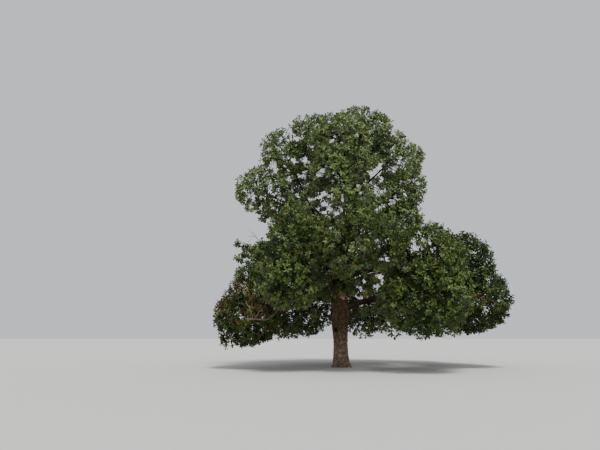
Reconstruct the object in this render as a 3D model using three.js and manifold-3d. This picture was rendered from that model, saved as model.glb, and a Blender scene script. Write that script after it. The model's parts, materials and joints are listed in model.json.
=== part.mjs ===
// An open-grown oak in full leaf: one leaning trunk with a root flare, a low skirt of long boughs,
// a narrower dome above a waist, and one dead limb on the left. Each mass of leaves is one solid.
// Millimetres, +Z up. The origin is the middle of the flat cut under the trunk, at ground level.
// Bearings are in degrees about +Z: 0 is +X, the right side, 90 the back, 180 the left, 270 the front.

import * as THREE from "three";
import { mergeVertices } from "three/addons/utils/BufferGeometryUtils.js";
import Module from "manifold-3d";

const wasm = await Module();
wasm.setup();

// The trunk, up to the cut where the topmost mass begins.
const TRUNK_TOP = 12700;
const TRUNK_LEAN = 1100;
const LEAN_FROM = 4000;
const LEAN_TO = 12000;
// Mean radius of the trunk at each height: waist at breast height, a swelling, then the fork.
const TRUNK_GIRTH = [
  [0, 440], [370, 425], [900, 400], [1300, 390], [1800, 415], [2400, 460], [3300, 510],
  [4100, 410], [5200, 345], [7000, 285], [9200, 205], [11200, 140], [TRUNK_TOP, 95],
];
const TRUNK_SIDES = 14;
const TRUNK_RINGS = 16;
const FLARE_SPREAD = 0.32;
const FLARE_HEIGHT = 260;
const BUTTRESSES = 5;
const BUTTRESS_DEPTH = 0.13;
const BUTTRESS_TURN = 35;

// The boughs.
const LIMB_SIDES = 6;
const SIDE_LIMB_SIDES = 5;
const LIMB_STEP = 1500;
const LIMB_TIP_SHARE = 0.023;
const LIMB_TAPER = 0.023;
const LIMB_COLLAR = 0.4;
const SIDE_LIMB_SHARE = 0.72;
const LIMB_CROOK = 0.022;
// The least rise of a limb where it leaves the trunk, and where it leaves another bough.
const TRUNK_LIFT = 0.6;
const SIDE_LIFT = 0.375;
const LEAVE_SHARE = 0.4;
const ARRIVE_SHARE = 0.3;
const PATH_STEPS = 6;
const SEAT_GAP = 0.3;

// The masses of leaves. Each is a ball, flattened, that keeps to its side of the planes between it
// and its neighbours. Twigs, leaves and cores are sized as shares of the mass's bulk, its radius.
const FLATTEN = 0.87;
const WAIST_HEIGHT = 7500;
const SPACE_MARGIN = 12;
const ENTRY = 0.72;
const STEM_SIDES = 4;
const STEM_REACH = 0.22;
const STEM_TIP_SHARE = 0.014;
const STEM_SUNK = 20;
const STEM_SHARE = 0.9;
const TWIG_SIDES = 3;
const TWIG_RADIUS = 0.029;
const TWIG_REACH = 0.53;
const TWIGS_AROUND = 9;
const SPARSE_TWIGS = 6;
const HOMEWARD = 0.6;
const OPEN_SHARE = 0.66;
// Sizes, as shares of the mass's bulk, and rolls that each leaf is tried in, the first that fits.
const LEAF_TRIES = [[0.76, 28], [0.7, -20], [0.64, 15], [0.57, -25], [0.49, 5]];
const LEAF_WIDTH = 0.82;
const LEAF_THICKNESS = 0.035;
const LEAF_TILT = 66;
const LEAF_TILT_SPREAD = 24;
const LEAF_WIDEST = 0.12;
const LEAF_STEP = 0.026;
const LEAF_CLEAR = 60;
const CORE_SHARE = 0.47;
const CORE_LUMPS = 0.16;
const GOLDEN_ANGLE = Math.PI * (3 - Math.sqrt(5));

const COLOURS = {
  bark: 0x4a3c31,
  boughBark: 0x3a3026,
  deadWood: 0x8a7c68,
  leaves: 0x46552a,
  leavesDeep: 0x37441f,
  leavesTurning: 0x5c4f24,
};

// Each tier of the crown: how high its masses sit, how far out on each side, and how large they are.
// foot is the height on the trunk where a mass's bough leaves it. on and at place a side limb: the
// bough that carries it, and how far along that bough it leaves.
const TIERS = [
  {
    tier: "low", height: 3550, right: 7200, back: 5500, left: 5300, front: 4900, bulk: 2300,
    masses: [
      { side: "right", bearing: -4, height: 3700, foot: 3000 },
      { side: "right_back", bearing: 33, on: "low_right", at: 0.36 },
      { side: "back", bearing: 65, height: 3800, foot: 3600 },
      { side: "left_back", bearing: 124, reach: 4700, height: 3500, bulk: 2400, on: "low_left", at: 0.3 },
      { side: "left", bearing: 194, reach: 5150, height: 2750, bulk: 1950, foot: 3400, turning: true },
      { side: "left_front", bearing: 236, height: 4300, bulk: 1750, on: "low_left", at: 0.25 },
      { side: "right_front", bearing: -50, height: 3450, on: "low_right", at: 0.24 },
    ],
  },
  {
    tier: "mid", height: 6100, right: 6500, back: 4500, left: 4200, front: 4600, bulk: 2100,
    masses: [
      { side: "right", bearing: 2, reach: 6800, height: 5800, bulk: 2150, foot: 4700 },
      { side: "right_back", bearing: 46, height: 5800, on: "mid_right", at: 0.3 },
      { side: "back", bearing: 97, foot: 5200 },
      { side: "left_back", bearing: 145, bulk: 2000, on: "mid_left", at: 0.3 },
      { side: "left", bearing: 191, reach: 4200, height: 5300, bulk: 1950, foot: 4600 },
      { side: "left_front", bearing: 237, height: 6600, bulk: 1850, foot: 5000 },
      { side: "front", bearing: 275, bulk: 2300, foot: 4400 },
      { side: "right_front", bearing: -43, height: 5500, bulk: 2050, foot: 4150 },
    ],
  },
  {
    tier: "outer", height: 6750, right: 5600, back: 5600, left: 5600, front: 5600, bulk: 850, sparse: true,
    masses: [
      { side: "left", bearing: 186, on: "mid_left", at: 0.5 },
    ],
  },
  {
    tier: "waist", height: 8300, right: 2750, back: 2900, left: 2800, front: 2900, bulk: 1650,
    masses: [
      { side: "left", bearing: 190, foot: 6500 },
      { side: "right", bearing: -8, bulk: 1600, foot: 6800 },
    ],
  },
  {
    tier: "dome", height: 10200, right: 2750, back: 2700, left: 5300, front: 2700, bulk: 1950,
    masses: [
      { side: "left", bearing: 184, height: 9850, bulk: 1900, foot: 7700 },
      { side: "left_back", bearing: 145, on: "dome_left", at: 0.3 },
      { side: "right_back", bearing: 53, foot: 8300 },
      { side: "right", bearing: -8, height: 10000, bulk: 1700, foot: 8000 },
      { side: "front", bearing: 254, bulk: 2150, foot: 7200 },
    ],
  },
  {
    tier: "crown", height: 12300, right: 2250, back: 2400, left: 4250, front: 2100, bulk: 1950,
    masses: [
      { side: "left", bearing: 180, height: 12450, bulk: 1850, on: "dome_left", at: 0.5 },
      { side: "top_left", bearing: 186, reach: 2550, height: 13300, bulk: 1850, foot: 10000 },
      { side: "right", bearing: 0, reach: 2350, height: 12200, foot: 9700 },
      { side: "back", bearing: 106, height: 12500, bulk: 2000, foot: 10300 },
      { side: "front", bearing: 241, bulk: 2000, foot: 9300 },
      { side: "top", bearing: 0, reach: 400, height: 13650, bulk: 2200, tip: true },
    ],
  },
];

// The dead limb under the left side. Its bare arms fork from the main stem, which runs left.
const DEAD_LIMB = { name: "dead_limb", on: "low_left", at: 0.66, tipRadius: 45 };
const DEAD_SPACE = { x: -4300, y: -4000, z: 2450, bulk: 1150 };
const DEAD_TIP_SHARE = 0.45;
const DEAD_ARMS = [
  { name: "stem", bearing: 186, rise: 2, reach: 950 },
  { name: "left_arm", on: "stem", at: 0.65, bearing: 176, rise: 66, reach: 950 },
  { name: "right_arm", on: "stem", at: 0.6, bearing: 4, rise: 52, reach: 900 },
  { name: "spur", on: "stem", at: 0.2, bearing: 10, rise: 55, reach: 300 },
  { name: "left_twig", on: "left_arm", at: 0.9, bearing: 8, rise: 42, reach: 650 },
  { name: "far_twig", on: "left_arm", at: 0.85, bearing: 195, rise: 8, reach: 330 },
  { name: "front_twig", on: "stem", at: 0.45, bearing: 262, rise: 20, reach: 420 },
  { name: "back_twig", on: "right_arm", at: 0.5, bearing: 95, rise: 40, reach: 330 },
];

const radians = THREE.MathUtils.degToRad;
const smooth = THREE.MathUtils.smoothstep;
const polar = (bearing) => new THREE.Vector3(Math.cos(radians(bearing)), Math.sin(radians(bearing)), 0);

// A repeatable number from 0 to 1 for a whole number and a seed.
function chance(index, seed) {
  const wave = Math.sin(index * 12.9898 + seed * 78.233) * 43758.5453;
  return wave - Math.floor(wave);
}

// Direction number k of n, spread evenly over a ball and turned about +Z by turn.
function spreadDirection(k, n, turn) {
  const height = 1 - (2 * k + 1) / n;
  const out = Math.sqrt(1 - height * height);
  const angle = k * GOLDEN_ANGLE + turn;
  return new THREE.Vector3(out * Math.cos(angle), out * Math.sin(angle), height);
}

// A three.js geometry as a solid, with vertices at the same place merged.
function solidOf(geometry) {
  const bare = geometry.clone();
  bare.deleteAttribute("normal");
  bare.deleteAttribute("uv");
  const merged = mergeVertices(bare, 1e-3);
  return new wasm.Manifold(new wasm.Mesh({
    numProp: 3,
    vertProperties: merged.attributes.position.array,
    triVerts: new Uint32Array(merged.index.array),
  }));
}

// A solid as a named mesh that stands at anchor.
function meshOf(name, solid, anchor, colour, roughness) {
  const { numProp, numVert, vertProperties, triVerts } = solid.getMesh();
  const points = new Float32Array(numVert * 3);
  for (let i = 0; i < numVert; i++) {
    points.set(vertProperties.subarray(i * numProp, i * numProp + 3), i * 3);
  }
  const geometry = new THREE.BufferGeometry()
    .setAttribute("position", new THREE.BufferAttribute(points, 3))
    .setIndex(new THREE.BufferAttribute(triVerts, 1))
    .translate(-anchor.x, -anchor.y, -anchor.z);
  geometry.computeVertexNormals();
  const material = new THREE.MeshStandardMaterial({ color: colour, roughness, metalness: 0 });
  const mesh = new THREE.Mesh(geometry, material);
  mesh.name = name;
  mesh.position.copy(anchor);
  return mesh;
}

// The largest body of a solid, so that a scrap that a cut leaves is dropped.
function largestBody(solid) {
  const bodies = solid.decompose();
  return bodies.reduce((best, body) => (body.volume() > best.volume() ? body : best), bodies[0]);
}

// The trunk's centre line: upright to LEAN_FROM, then leaning to the right.
function trunkAxis(height) {
  return new THREE.Vector3(TRUNK_LEAN * smooth(height, LEAN_FROM, LEAN_TO), 0, height);
}

// The trunk's mean radius at a height, between its named girths.
function trunkGirth(height) {
  const next = Math.max(1, TRUNK_GIRTH.findIndex(([z]) => z >= height));
  const [z0, r0] = TRUNK_GIRTH[next - 1];
  const [z1, r1] = TRUNK_GIRTH[next];
  return THREE.MathUtils.lerp(r0, r1, (height - z0) / (z1 - z0));
}

// The trunk's radius at a height and an angle: the root flare and its buttresses die away upwards.
function trunkRadius(height, angle) {
  const flare = Math.exp(-height / FLARE_HEIGHT);
  const buttress = Math.cos(BUTTRESSES * angle + radians(BUTTRESS_TURN));
  return trunkGirth(height) * (1 + flare * (FLARE_SPREAD + BUTTRESS_DEPTH * buttress));
}

// The trunk, from the flat cut at ground level to its tip, with level rings that crowd at the foot.
function trunkSolid(grown) {
  const geometry = new THREE.CylinderGeometry(1, 1, 1, TRUNK_SIDES, TRUNK_RINGS);
  const position = geometry.attributes.position;
  const point = new THREE.Vector3();
  for (let i = 0; i < position.count; i++) {
    point.fromBufferAttribute(position, i);
    const share = point.y + 0.5;
    const height = TRUNK_TOP * share ** 1.7;
    const out = Math.hypot(point.x, point.z);
    const angle = Math.atan2(-point.z, point.x);
    const radius = out < 0.5 ? 0 : trunkRadius(height, angle) + grown;
    const axis = trunkAxis(height);
    const end = share < 0.001 ? -grown : share > 0.999 ? grown : 0;
    position.setXYZ(i, axis.x + radius * Math.cos(angle), axis.y + radius * Math.sin(angle), height + end);
  }
  return solidOf(geometry);
}

// A limb with a round section of radiusAt(share) along path, closed at both ends. Its tip can stand
// out past the end of the path.
function taperedLimb(path, radiusAt, sides, rings, past = 0) {
  const geometry = new THREE.CylinderGeometry(1, 1, 1, sides, rings);
  const frames = path.computeFrenetFrames(rings, false);
  const position = geometry.attributes.position;
  const point = new THREE.Vector3();
  for (let i = 0; i < position.count; i++) {
    point.fromBufferAttribute(position, i);
    const ring = Math.round((point.y + 0.5) * rings);
    const radius = radiusAt(ring / rings);
    const place = path.getPointAt(ring / rings)
      .addScaledVector(frames.normals[ring], point.x * radius)
      .addScaledVector(frames.binormals[ring], -point.z * radius)
      .addScaledVector(frames.tangents[ring], ring === rings ? past : 0);
    position.setXYZ(i, place.x, place.y, place.z);
  }
  return solidOf(geometry);
}

// A straight tapering piece from one point to another.
function straightPiece(from, to, fromRadius, toRadius, sides) {
  const path = new THREE.LineCurve3(from, to);
  return taperedLimb(path, (share) => THREE.MathUtils.lerp(fromRadius, toRadius, share), sides, 1);
}

// How far out a tier's masses sit at a bearing: a quarter of an ellipse between each two sides.
function tierReach(tier, bearing) {
  const way = polar(bearing);
  const across = way.x > 0 ? tier.right : tier.left;
  const along = way.y > 0 ? tier.back : tier.front;
  return 1 / Math.hypot(way.x / across, way.y / along);
}

// Every mass with its centre, from the tiers.
function placeMasses() {
  return TIERS.flatMap((tier) => tier.masses.map((row) => {
    const height = row.height ?? tier.height;
    const reach = row.reach ?? tierReach(tier, row.bearing);
    const centre = trunkAxis(height).addScaledVector(polar(row.bearing), reach);
    const name = `${tier.tier}_${row.side}`;
    return { ...row, name, centre, bulk: row.bulk ?? tier.bulk, sparse: tier.sparse };
  }));
}

const squashed = (v) => new THREE.Vector3(v.x, v.y, v.z / FLATTEN);

// The planes that part a mass from its neighbours, in squashed space: a point p is on the mass's
// side while (p - centre) . way is below limit. Each is the plane where the two balls would meet.
function partingPlanes(mass, masses) {
  return masses.filter((other) => other !== mass).map((other) => {
    const way = squashed(other.centre).sub(squashed(mass.centre));
    const apart = way.length();
    const limit = (apart ** 2 + mass.bulk ** 2 - other.bulk ** 2) / (2 * apart) - SPACE_MARGIN;
    return { way: way.normalize(), limit };
  }).filter((plane) => plane.limit < mass.bulk);
}

// How far a mass's space reaches from its centre along a direction, in squashed space.
function room(mass, direction) {
  return mass.planes.reduce((reach, { way, limit }) => {
    const toward = way.dot(direction);
    return toward > 0 ? Math.min(reach, limit / toward) : reach;
  }, mass.bulk);
}

// The point of a mass's space at a share of its reach along a direction.
function spacePoint(mass, direction, share) {
  const out = direction.clone().multiplyScalar(share * room(mass, direction));
  return mass.centre.clone().add(new THREE.Vector3(out.x, out.y, out.z * FLATTEN));
}

// Whether a point lies in a mass's own space.
function inSpace(mass, point) {
  const out = squashed(point).sub(squashed(mass.centre));
  return out.length() <= mass.bulk && mass.planes.every(({ way, limit }) => out.dot(way) <= limit);
}

// A limb's centre line: it leaves rising, arches over and ends heading for its mass, a little crooked.
function limbPath(start, end, centre, lift, seed) {
  const span = start.distanceTo(end);
  const level = end.clone().sub(start).setZ(0).normalize();
  const leave = level.clone().setZ(lift).normalize();
  const arrive = centre.clone().sub(end).normalize();
  const bend = new THREE.CubicBezierCurve3(
    start,
    start.clone().addScaledVector(leave, span * LEAVE_SHARE),
    end.clone().addScaledVector(arrive, -span * ARRIVE_SHARE),
    end,
  );
  const side = new THREE.Vector3(-level.y, level.x, 0);
  const phase = chance(1, seed) * 6;
  const points = bend.getPoints(PATH_STEPS).map((point, i) => {
    const turn = (i / PATH_STEPS) * Math.PI;
    return point.addScaledVector(side, Math.sin(2 * turn + phase) * Math.sin(turn) * span * LIMB_CROOK);
  });
  return new THREE.CatmullRomCurve3(points);
}

// A limb's radius: a straight taper with a collar where it leaves its parent.
function limbRadius(limb, share) {
  const past = Math.max(0, share * limb.length - limb.parentRadius);
  const collar = LIMB_COLLAR * Math.exp(-past / (1.3 * limb.baseRadius));
  const taper = THREE.MathUtils.lerp(limb.baseRadius, limb.tipRadius, share);
  return taper * (1 + collar * (1 - share));
}

// One limb from its row: it starts on the trunk's axis or its parent's, and ends inside its mass.
function makeLimb(row, mass, limbs, seed) {
  const parent = limbs.get(row.on);
  const start = parent ? parent.path.getPointAt(row.at) : trunkAxis(row.foot);
  const parentRadius = parent ? limbRadius(parent, row.at) : trunkGirth(row.foot);
  const inward = squashed(start).sub(squashed(mass.centre)).normalize();
  const end = spacePoint(mass, inward, ENTRY);
  const steepness = (end.z - start.z) / Math.hypot(end.x - start.x, end.y - start.y);
  const lift = Math.max(steepness + 0.15, parent ? SIDE_LIFT : TRUNK_LIFT);
  const path = limbPath(start, end, mass.centre, lift, seed);
  const length = path.getLength();
  const tipRadius = row.tipRadius ?? mass.bulk * LIMB_TIP_SHARE;
  const wanted = tipRadius + LIMB_TAPER * length;
  const baseRadius = Math.min(wanted, parentRadius * SIDE_LIMB_SHARE);
  return { name: row.name, parent, path, length, parentRadius, baseRadius, tipRadius, end };
}

// A limb's solid, wider all round by grown.
function limbSolid(limb, grown) {
  const rings = Math.max(4, Math.round(limb.length / LIMB_STEP));
  const sides = limb.parent ? SIDE_LIMB_SIDES : LIMB_SIDES;
  return taperedLimb(limb.path, (share) => limbRadius(limb, share) + grown, sides, rings, grown);
}

// Whether any of these points comes nearer to a limb or the trunk than clear.
function touchesLimb(points, limbs, clear) {
  const nearTrunk = points.some((point) => {
    const axis = trunkAxis(Math.min(point.z, TRUNK_TOP));
    return point.distanceTo(axis) < trunkGirth(Math.min(point.z, TRUNK_TOP)) + clear;
  });
  return nearTrunk || limbs.some((limb) => points.some((point) => limb.samples.some(
    ({ place, radius }) => point.distanceTo(place) < radius + clear,
  )));
}

// A leaf blade that stands for a spray: a flat eight-faced lozenge, widest past its middle, that
// runs from root along way. across is the way its width lies.
function leafShape(root, way, across, length) {
  const upright = new THREE.Vector3().crossVectors(way, across);
  const geometry = new THREE.OctahedronGeometry(1, 0);
  const position = geometry.attributes.position;
  const corners = [];
  for (let i = 0; i < position.count; i++) {
    const end = position.getX(i);
    const along = (end === 0 ? LEAF_WIDEST : end) * 0.5 + 0.5;
    const corner = root.clone()
      .addScaledVector(way, along * length)
      .addScaledVector(across, position.getY(i) * length * LEAF_WIDTH * 0.5)
      .addScaledVector(upright, position.getZ(i) * length * LEAF_THICKNESS * 0.5);
    position.setXYZ(i, corner.x, corner.y, corner.z);
    corners.push(corner);
  }
  return { geometry, corners };
}

// The leaves near the end of a twig: one out of each side of it, rooted on its middle line. Each is
// tried in a few sizes and rolls until it keeps to the mass's space, clear of the limbs and of what
// has grown before, and is left out when none does.
function leafFan(mass, limbs, grown, start, tip, seed) {
  const { tangents, normals, binormals } = new THREE.LineCurve3(start, tip).computeFrenetFrames(1);
  const way = tangents[0];
  const leaves = [];
  for (let k = 0; k < TWIG_SIDES; k++) {
    const middle = ((k + 0.5) / TWIG_SIDES) * 2 * Math.PI;
    const lean = normals[0].clone().multiplyScalar(Math.sin(middle))
      .addScaledVector(binormals[0], -Math.cos(middle));
    const tilt = radians(LEAF_TILT + LEAF_TILT_SPREAD * (chance(k + 2, seed) - 0.5));
    const heading = way.clone().multiplyScalar(Math.cos(tilt)).addScaledVector(lean, Math.sin(tilt));
    const root = tip.clone().addScaledVector(way, -LEAF_STEP * mass.bulk * (k + 1));
    for (const [size, roll] of LEAF_TRIES) {
      const across = new THREE.Vector3().crossVectors(way, heading).normalize();
      across.applyAxisAngle(heading, radians(roll * (chance(k + 9, seed) < 0.5 ? -1 : 1)));
      const { geometry, corners } = leafShape(root, heading, across, size * mass.bulk);
      if (!corners.every((corner) => inSpace(mass, corner))) continue;
      if (touchesLimb(corners, limbs, LEAF_CLEAR)) continue;
      const leaf = solidOf(geometry);
      if (!leaf.intersect(grown).isEmpty()) continue;
      leaves.push(leaf);
      break;
    }
  }
  return leaves;
}

// The core of a dense mass: a lumpy ball that keeps inside the mass's space.
function coreSolid(mass, seed) {
  const geometry = new THREE.OctahedronGeometry(1, 1);
  const position = geometry.attributes.position;
  const direction = new THREE.Vector3();
  for (let i = 0; i < position.count; i++) {
    direction.fromBufferAttribute(position, i).normalize();
    const lump = Math.sin(direction.x * 5 + seed) * Math.sin(direction.y * 6) * Math.sin(direction.z * 4 + 1);
    const reach = Math.min(mass.bulk * CORE_SHARE * (1 + CORE_LUMPS * lump), room(mass, direction) * 0.9);
    const place = mass.centre.clone()
      .add(new THREE.Vector3(direction.x, direction.y, direction.z * FLATTEN).multiplyScalar(reach));
    position.setXYZ(i, place.x, place.y, place.z);
  }
  return solidOf(geometry);
}

// One mass: a stem from its bough's tip, twigs from the stem towards every open side but the trunk's,
// and a fan of leaves at each twig's end. A twig or leaf that would leave the space or touch a limb
// is skipped.
function massSolid(mass, limbs, seed) {
  const foot = mass.stemFoot;
  const inward = mass.centre.clone().sub(foot).normalize();
  const stemTip = mass.centre.clone().addScaledVector(inward, mass.bulk * STEM_REACH);
  let solid = straightPiece(foot, stemTip, mass.footRadius, mass.bulk * STEM_TIP_SHARE, STEM_SIDES);
  if (!mass.sparse) solid = solid.add(coreSolid(mass, seed));
  const count = mass.sparse ? SPARSE_TWIGS : TWIGS_AROUND;
  const twigRadius = mass.bulk * TWIG_RADIUS;
  const home = trunkAxis(mass.centre.z).sub(mass.centre).setZ(0).normalize();
  for (let k = 0; k < count; k++) {
    const direction = spreadDirection(k, count, seed * GOLDEN_ANGLE);
    const shut = room(mass, direction) < mass.bulk * OPEN_SHARE;
    if (shut || direction.dot(home) > HOMEWARD) continue;
    const tip = spacePoint(mass, direction, TWIG_REACH * (0.92 + 0.16 * chance(k, seed)));
    const start = foot.clone().lerp(stemTip, 0.6 + 0.35 * chance(k + 50, seed));
    const middle = start.clone().lerp(tip, 0.6);
    if (!inSpace(mass, tip) || touchesLimb([middle, tip], limbs, LEAF_CLEAR)) continue;
    const leaves = leafFan(mass, limbs, solid, start, tip, seed + k * 7);
    solid = solid.add(straightPiece(start, tip, twigRadius * 1.2, twigRadius, TWIG_SIDES));
    for (const leaf of leaves) solid = solid.add(leaf);
  }
  return solid;
}

// The dead limb's bare end: the stem, and the arms and twigs that fork from it.
function deadTwigsSolid(mass) {
  const arms = new Map();
  let solid = null;
  for (const { name, on, at, bearing, rise, reach } of DEAD_ARMS) {
    const parent = arms.get(on);
    const from = parent ? parent.from.clone().lerp(parent.to, at) : mass.stemFoot;
    const radius = parent ? parent.radius * (1 - 0.5 * at) * 0.75 : mass.footRadius;
    const level = polar(bearing).multiplyScalar(Math.cos(radians(rise)));
    const to = from.clone().addScaledVector(level.setZ(Math.sin(radians(rise))), reach);
    arms.set(name, { from, to, radius });
    const piece = straightPiece(from, to, radius, radius * DEAD_TIP_SHARE, TWIG_SIDES);
    solid = solid ? solid.add(piece) : piece;
  }
  return solid;
}

// Cuts a solid clear of the grown limbs and trunk whose boxes it meets.
function cutClear(solid, cutters) {
  const box = solid.boundingBox();
  const meets = (other) => [0, 1, 2].every((i) => box.min[i] < other.max[i] && box.max[i] > other.min[i]);
  return cutters.filter((cutter) => meets(cutter.box))
    .reduce((rest, cutter) => rest.subtract(cutter.solid), solid);
}

// Gives a mass the foot of its stem. It starts a little inside the flat end that carries it, and the
// cut that clears the limb then leaves it the seat gap short of that end.
function seatStem(mass, end, way, radius) {
  mass.stemFoot = end.clone().addScaledVector(way, -STEM_SUNK);
  mass.footRadius = radius * STEM_SHARE;
}

// A mass's colour: bare wood, turning leaves, or green, deeper below the waist.
function massColour(mass) {
  if (mass.dead) return COLOURS.deadWood;
  if (mass.turning) return COLOURS.leavesTurning;
  return mass.centre.z < WAIST_HEIGHT ? COLOURS.leavesDeep : COLOURS.leaves;
}

// The whole tree: the trunk, the skeleton of boughs, and the foliage.
function buildTree() {
  const masses = placeMasses();
  const deadMass = {
    name: "dead_twigs",
    centre: new THREE.Vector3(DEAD_SPACE.x, DEAD_SPACE.y, DEAD_SPACE.z),
    bulk: DEAD_SPACE.bulk,
    dead: true,
  };
  const spaces = [...masses, deadMass];
  for (const mass of spaces) mass.planes = partingPlanes(mass, spaces);

  const limbs = new Map();
  const carried = masses.filter((mass) => !mass.tip);
  const parentsFirst = [...carried.filter((mass) => !mass.on), ...carried.filter((mass) => mass.on)];
  parentsFirst.forEach((mass, i) => limbs.set(mass.name, makeLimb(mass, mass, limbs, i + 1)));
  limbs.set(DEAD_LIMB.name, makeLimb(DEAD_LIMB, deadMass, limbs, 77));
  for (const limb of limbs.values()) {
    const count = Math.round(limb.length / 60);
    limb.samples = Array.from({ length: count + 1 }, (_, i) => ({
      place: limb.path.getPointAt(i / count),
      radius: limbRadius(limb, i / count),
    }));
  }

  const tree = new THREE.Group();
  const trunk = new THREE.Group();
  const skeleton = new THREE.Group();
  const foliage = new THREE.Group();
  tree.add(trunk, skeleton, foliage);

  trunk.add(meshOf("trunk", trunkSolid(0), new THREE.Vector3(), COLOURS.bark, 0.95));
  const grownTrunk = trunkSolid(SEAT_GAP);
  const cutters = [{ solid: grownTrunk, box: grownTrunk.boundingBox() }];
  for (const limb of limbs.values()) {
    const cutBy = limb.parent ? limb.parent.grown : grownTrunk;
    const solid = largestBody(limbSolid(limb, 0).subtract(cutBy));
    limb.grown = limbSolid(limb, SEAT_GAP);
    cutters.push({ solid: limb.grown, box: limb.grown.boundingBox() });
    const dead = limb.name === DEAD_LIMB.name;
    const name = dead ? limb.name : `bough_${limb.name}`;
    const colour = dead ? COLOURS.deadWood : COLOURS.boughBark;
    skeleton.add(meshOf(name, solid, limb.path.getPointAt(0), colour, 0.95));
  }

  spaces.forEach((mass, i) => {
    const limb = limbs.get(mass === deadMass ? DEAD_LIMB.name : mass.name);
    if (limb) seatStem(mass, limb.end, limb.path.getTangentAt(1), limb.tipRadius);
    else seatStem(mass, trunkAxis(TRUNK_TOP), new THREE.Vector3(0, 0, 1), trunkGirth(TRUNK_TOP));
    const others = [...limbs.values()].filter((other) => other !== limb);
    const grown = mass === deadMass ? deadTwigsSolid(mass) : massSolid(mass, others, i + 1);
    const solid = largestBody(cutClear(grown, cutters));
    const name = mass === deadMass ? mass.name : `leaves_${mass.name}`;
    foliage.add(meshOf(name, solid, mass.centre, massColour(mass), 0.8));
  });
  return tree;
}

export default buildTree();
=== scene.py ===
"""The looks of an open-grown oak in full leaf, grown over its plain solids.

Metres, +Z up. The origin is the middle of the flat cut under the trunk, at ground level. Bearings are
in degrees about +Z: 0 is +X, the right side, 90 the back, 180 the left and 270 the front.
"""

import json
import math
from types import SimpleNamespace

import bpy
import numpy as np
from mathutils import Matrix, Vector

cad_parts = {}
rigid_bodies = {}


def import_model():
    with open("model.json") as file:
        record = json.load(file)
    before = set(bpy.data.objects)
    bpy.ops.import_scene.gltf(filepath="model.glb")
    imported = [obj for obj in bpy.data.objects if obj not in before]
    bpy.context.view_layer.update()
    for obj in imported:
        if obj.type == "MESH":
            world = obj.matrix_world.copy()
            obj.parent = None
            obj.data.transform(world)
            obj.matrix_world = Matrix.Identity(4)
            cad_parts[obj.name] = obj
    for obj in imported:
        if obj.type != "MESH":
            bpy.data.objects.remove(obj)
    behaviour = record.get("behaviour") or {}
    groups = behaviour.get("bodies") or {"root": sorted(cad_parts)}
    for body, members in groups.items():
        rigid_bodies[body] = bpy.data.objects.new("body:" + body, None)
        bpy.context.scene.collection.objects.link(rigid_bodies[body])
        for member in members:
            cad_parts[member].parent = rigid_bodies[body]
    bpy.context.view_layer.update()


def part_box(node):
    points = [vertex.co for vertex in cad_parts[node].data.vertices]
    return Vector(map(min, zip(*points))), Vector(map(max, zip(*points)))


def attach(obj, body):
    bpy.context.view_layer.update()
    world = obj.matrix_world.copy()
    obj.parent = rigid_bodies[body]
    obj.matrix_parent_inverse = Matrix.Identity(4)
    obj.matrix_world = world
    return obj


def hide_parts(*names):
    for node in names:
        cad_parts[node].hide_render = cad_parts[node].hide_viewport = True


bl_info = {
    "name": "Open-grown oak",
    "version": (1, 0, 0),
    "blender": (4, 5, 0),
    "location": "View3D > Sidebar > Oak",
    "description": "Grows bark, boughs, twigs and lobed leaves over the solids of an oak",
    "category": "Add Mesh",
}

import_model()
BODY = "root"

# The trunk, up to the cut where the topmost mass begins.
TRUNK_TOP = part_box("trunk")[1].z
TRUNK_LEAN = 1.1
LEAN_FROM = 4.0
LEAN_TO = 12.0
GIRTH_HEIGHTS = [0, 0.37, 0.9, 1.3, 1.8, 2.4, 3.3, 4.1, 5.2, 7.0, 9.2, 11.2, TRUNK_TOP]
GIRTH_RADII = [0.44, 0.425, 0.4, 0.39, 0.415, 0.46, 0.51, 0.41, 0.345, 0.285, 0.205, 0.14, 0.095]
FLARE_SPREAD = 0.32
FLARE_HEIGHT = 0.26
BUTTRESSES = 5
BUTTRESS_DEPTH = 0.13
BUTTRESS_TURN = math.radians(35)

# The boughs, by the same rule as the solids.
LIMB_TIP_SHARE = 0.023
LIMB_TAPER = 0.023
LIMB_COLLAR = 0.4
COLLAR_FADE = 1.3
SIDE_LIMB_SHARE = 0.72
LIMB_CROOK = 0.022
TRUNK_LIFT = 0.6
SIDE_LIFT = 0.375
LIFT_OVER_CHORD = 0.15
LEAVE_SHARE = 0.4
ARRIVE_SHARE = 0.3
PATH_SAMPLES = 97
TRUNK_SAMPLES = 120

# The masses of leaves: flattened balls, parted from each other by planes. Then two angles: from each
# twig round to the next, and the largest start of a sway.
FLATTEN = 0.87
SPACE_MARGIN = 0.012
ENTRY = 0.72
STEM_REACH = 0.22
HOMEWARD = 0.6
GOLDEN_ANGLE = math.pi * (3 - math.sqrt(5))
LARGEST_PHASE = 6

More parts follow.
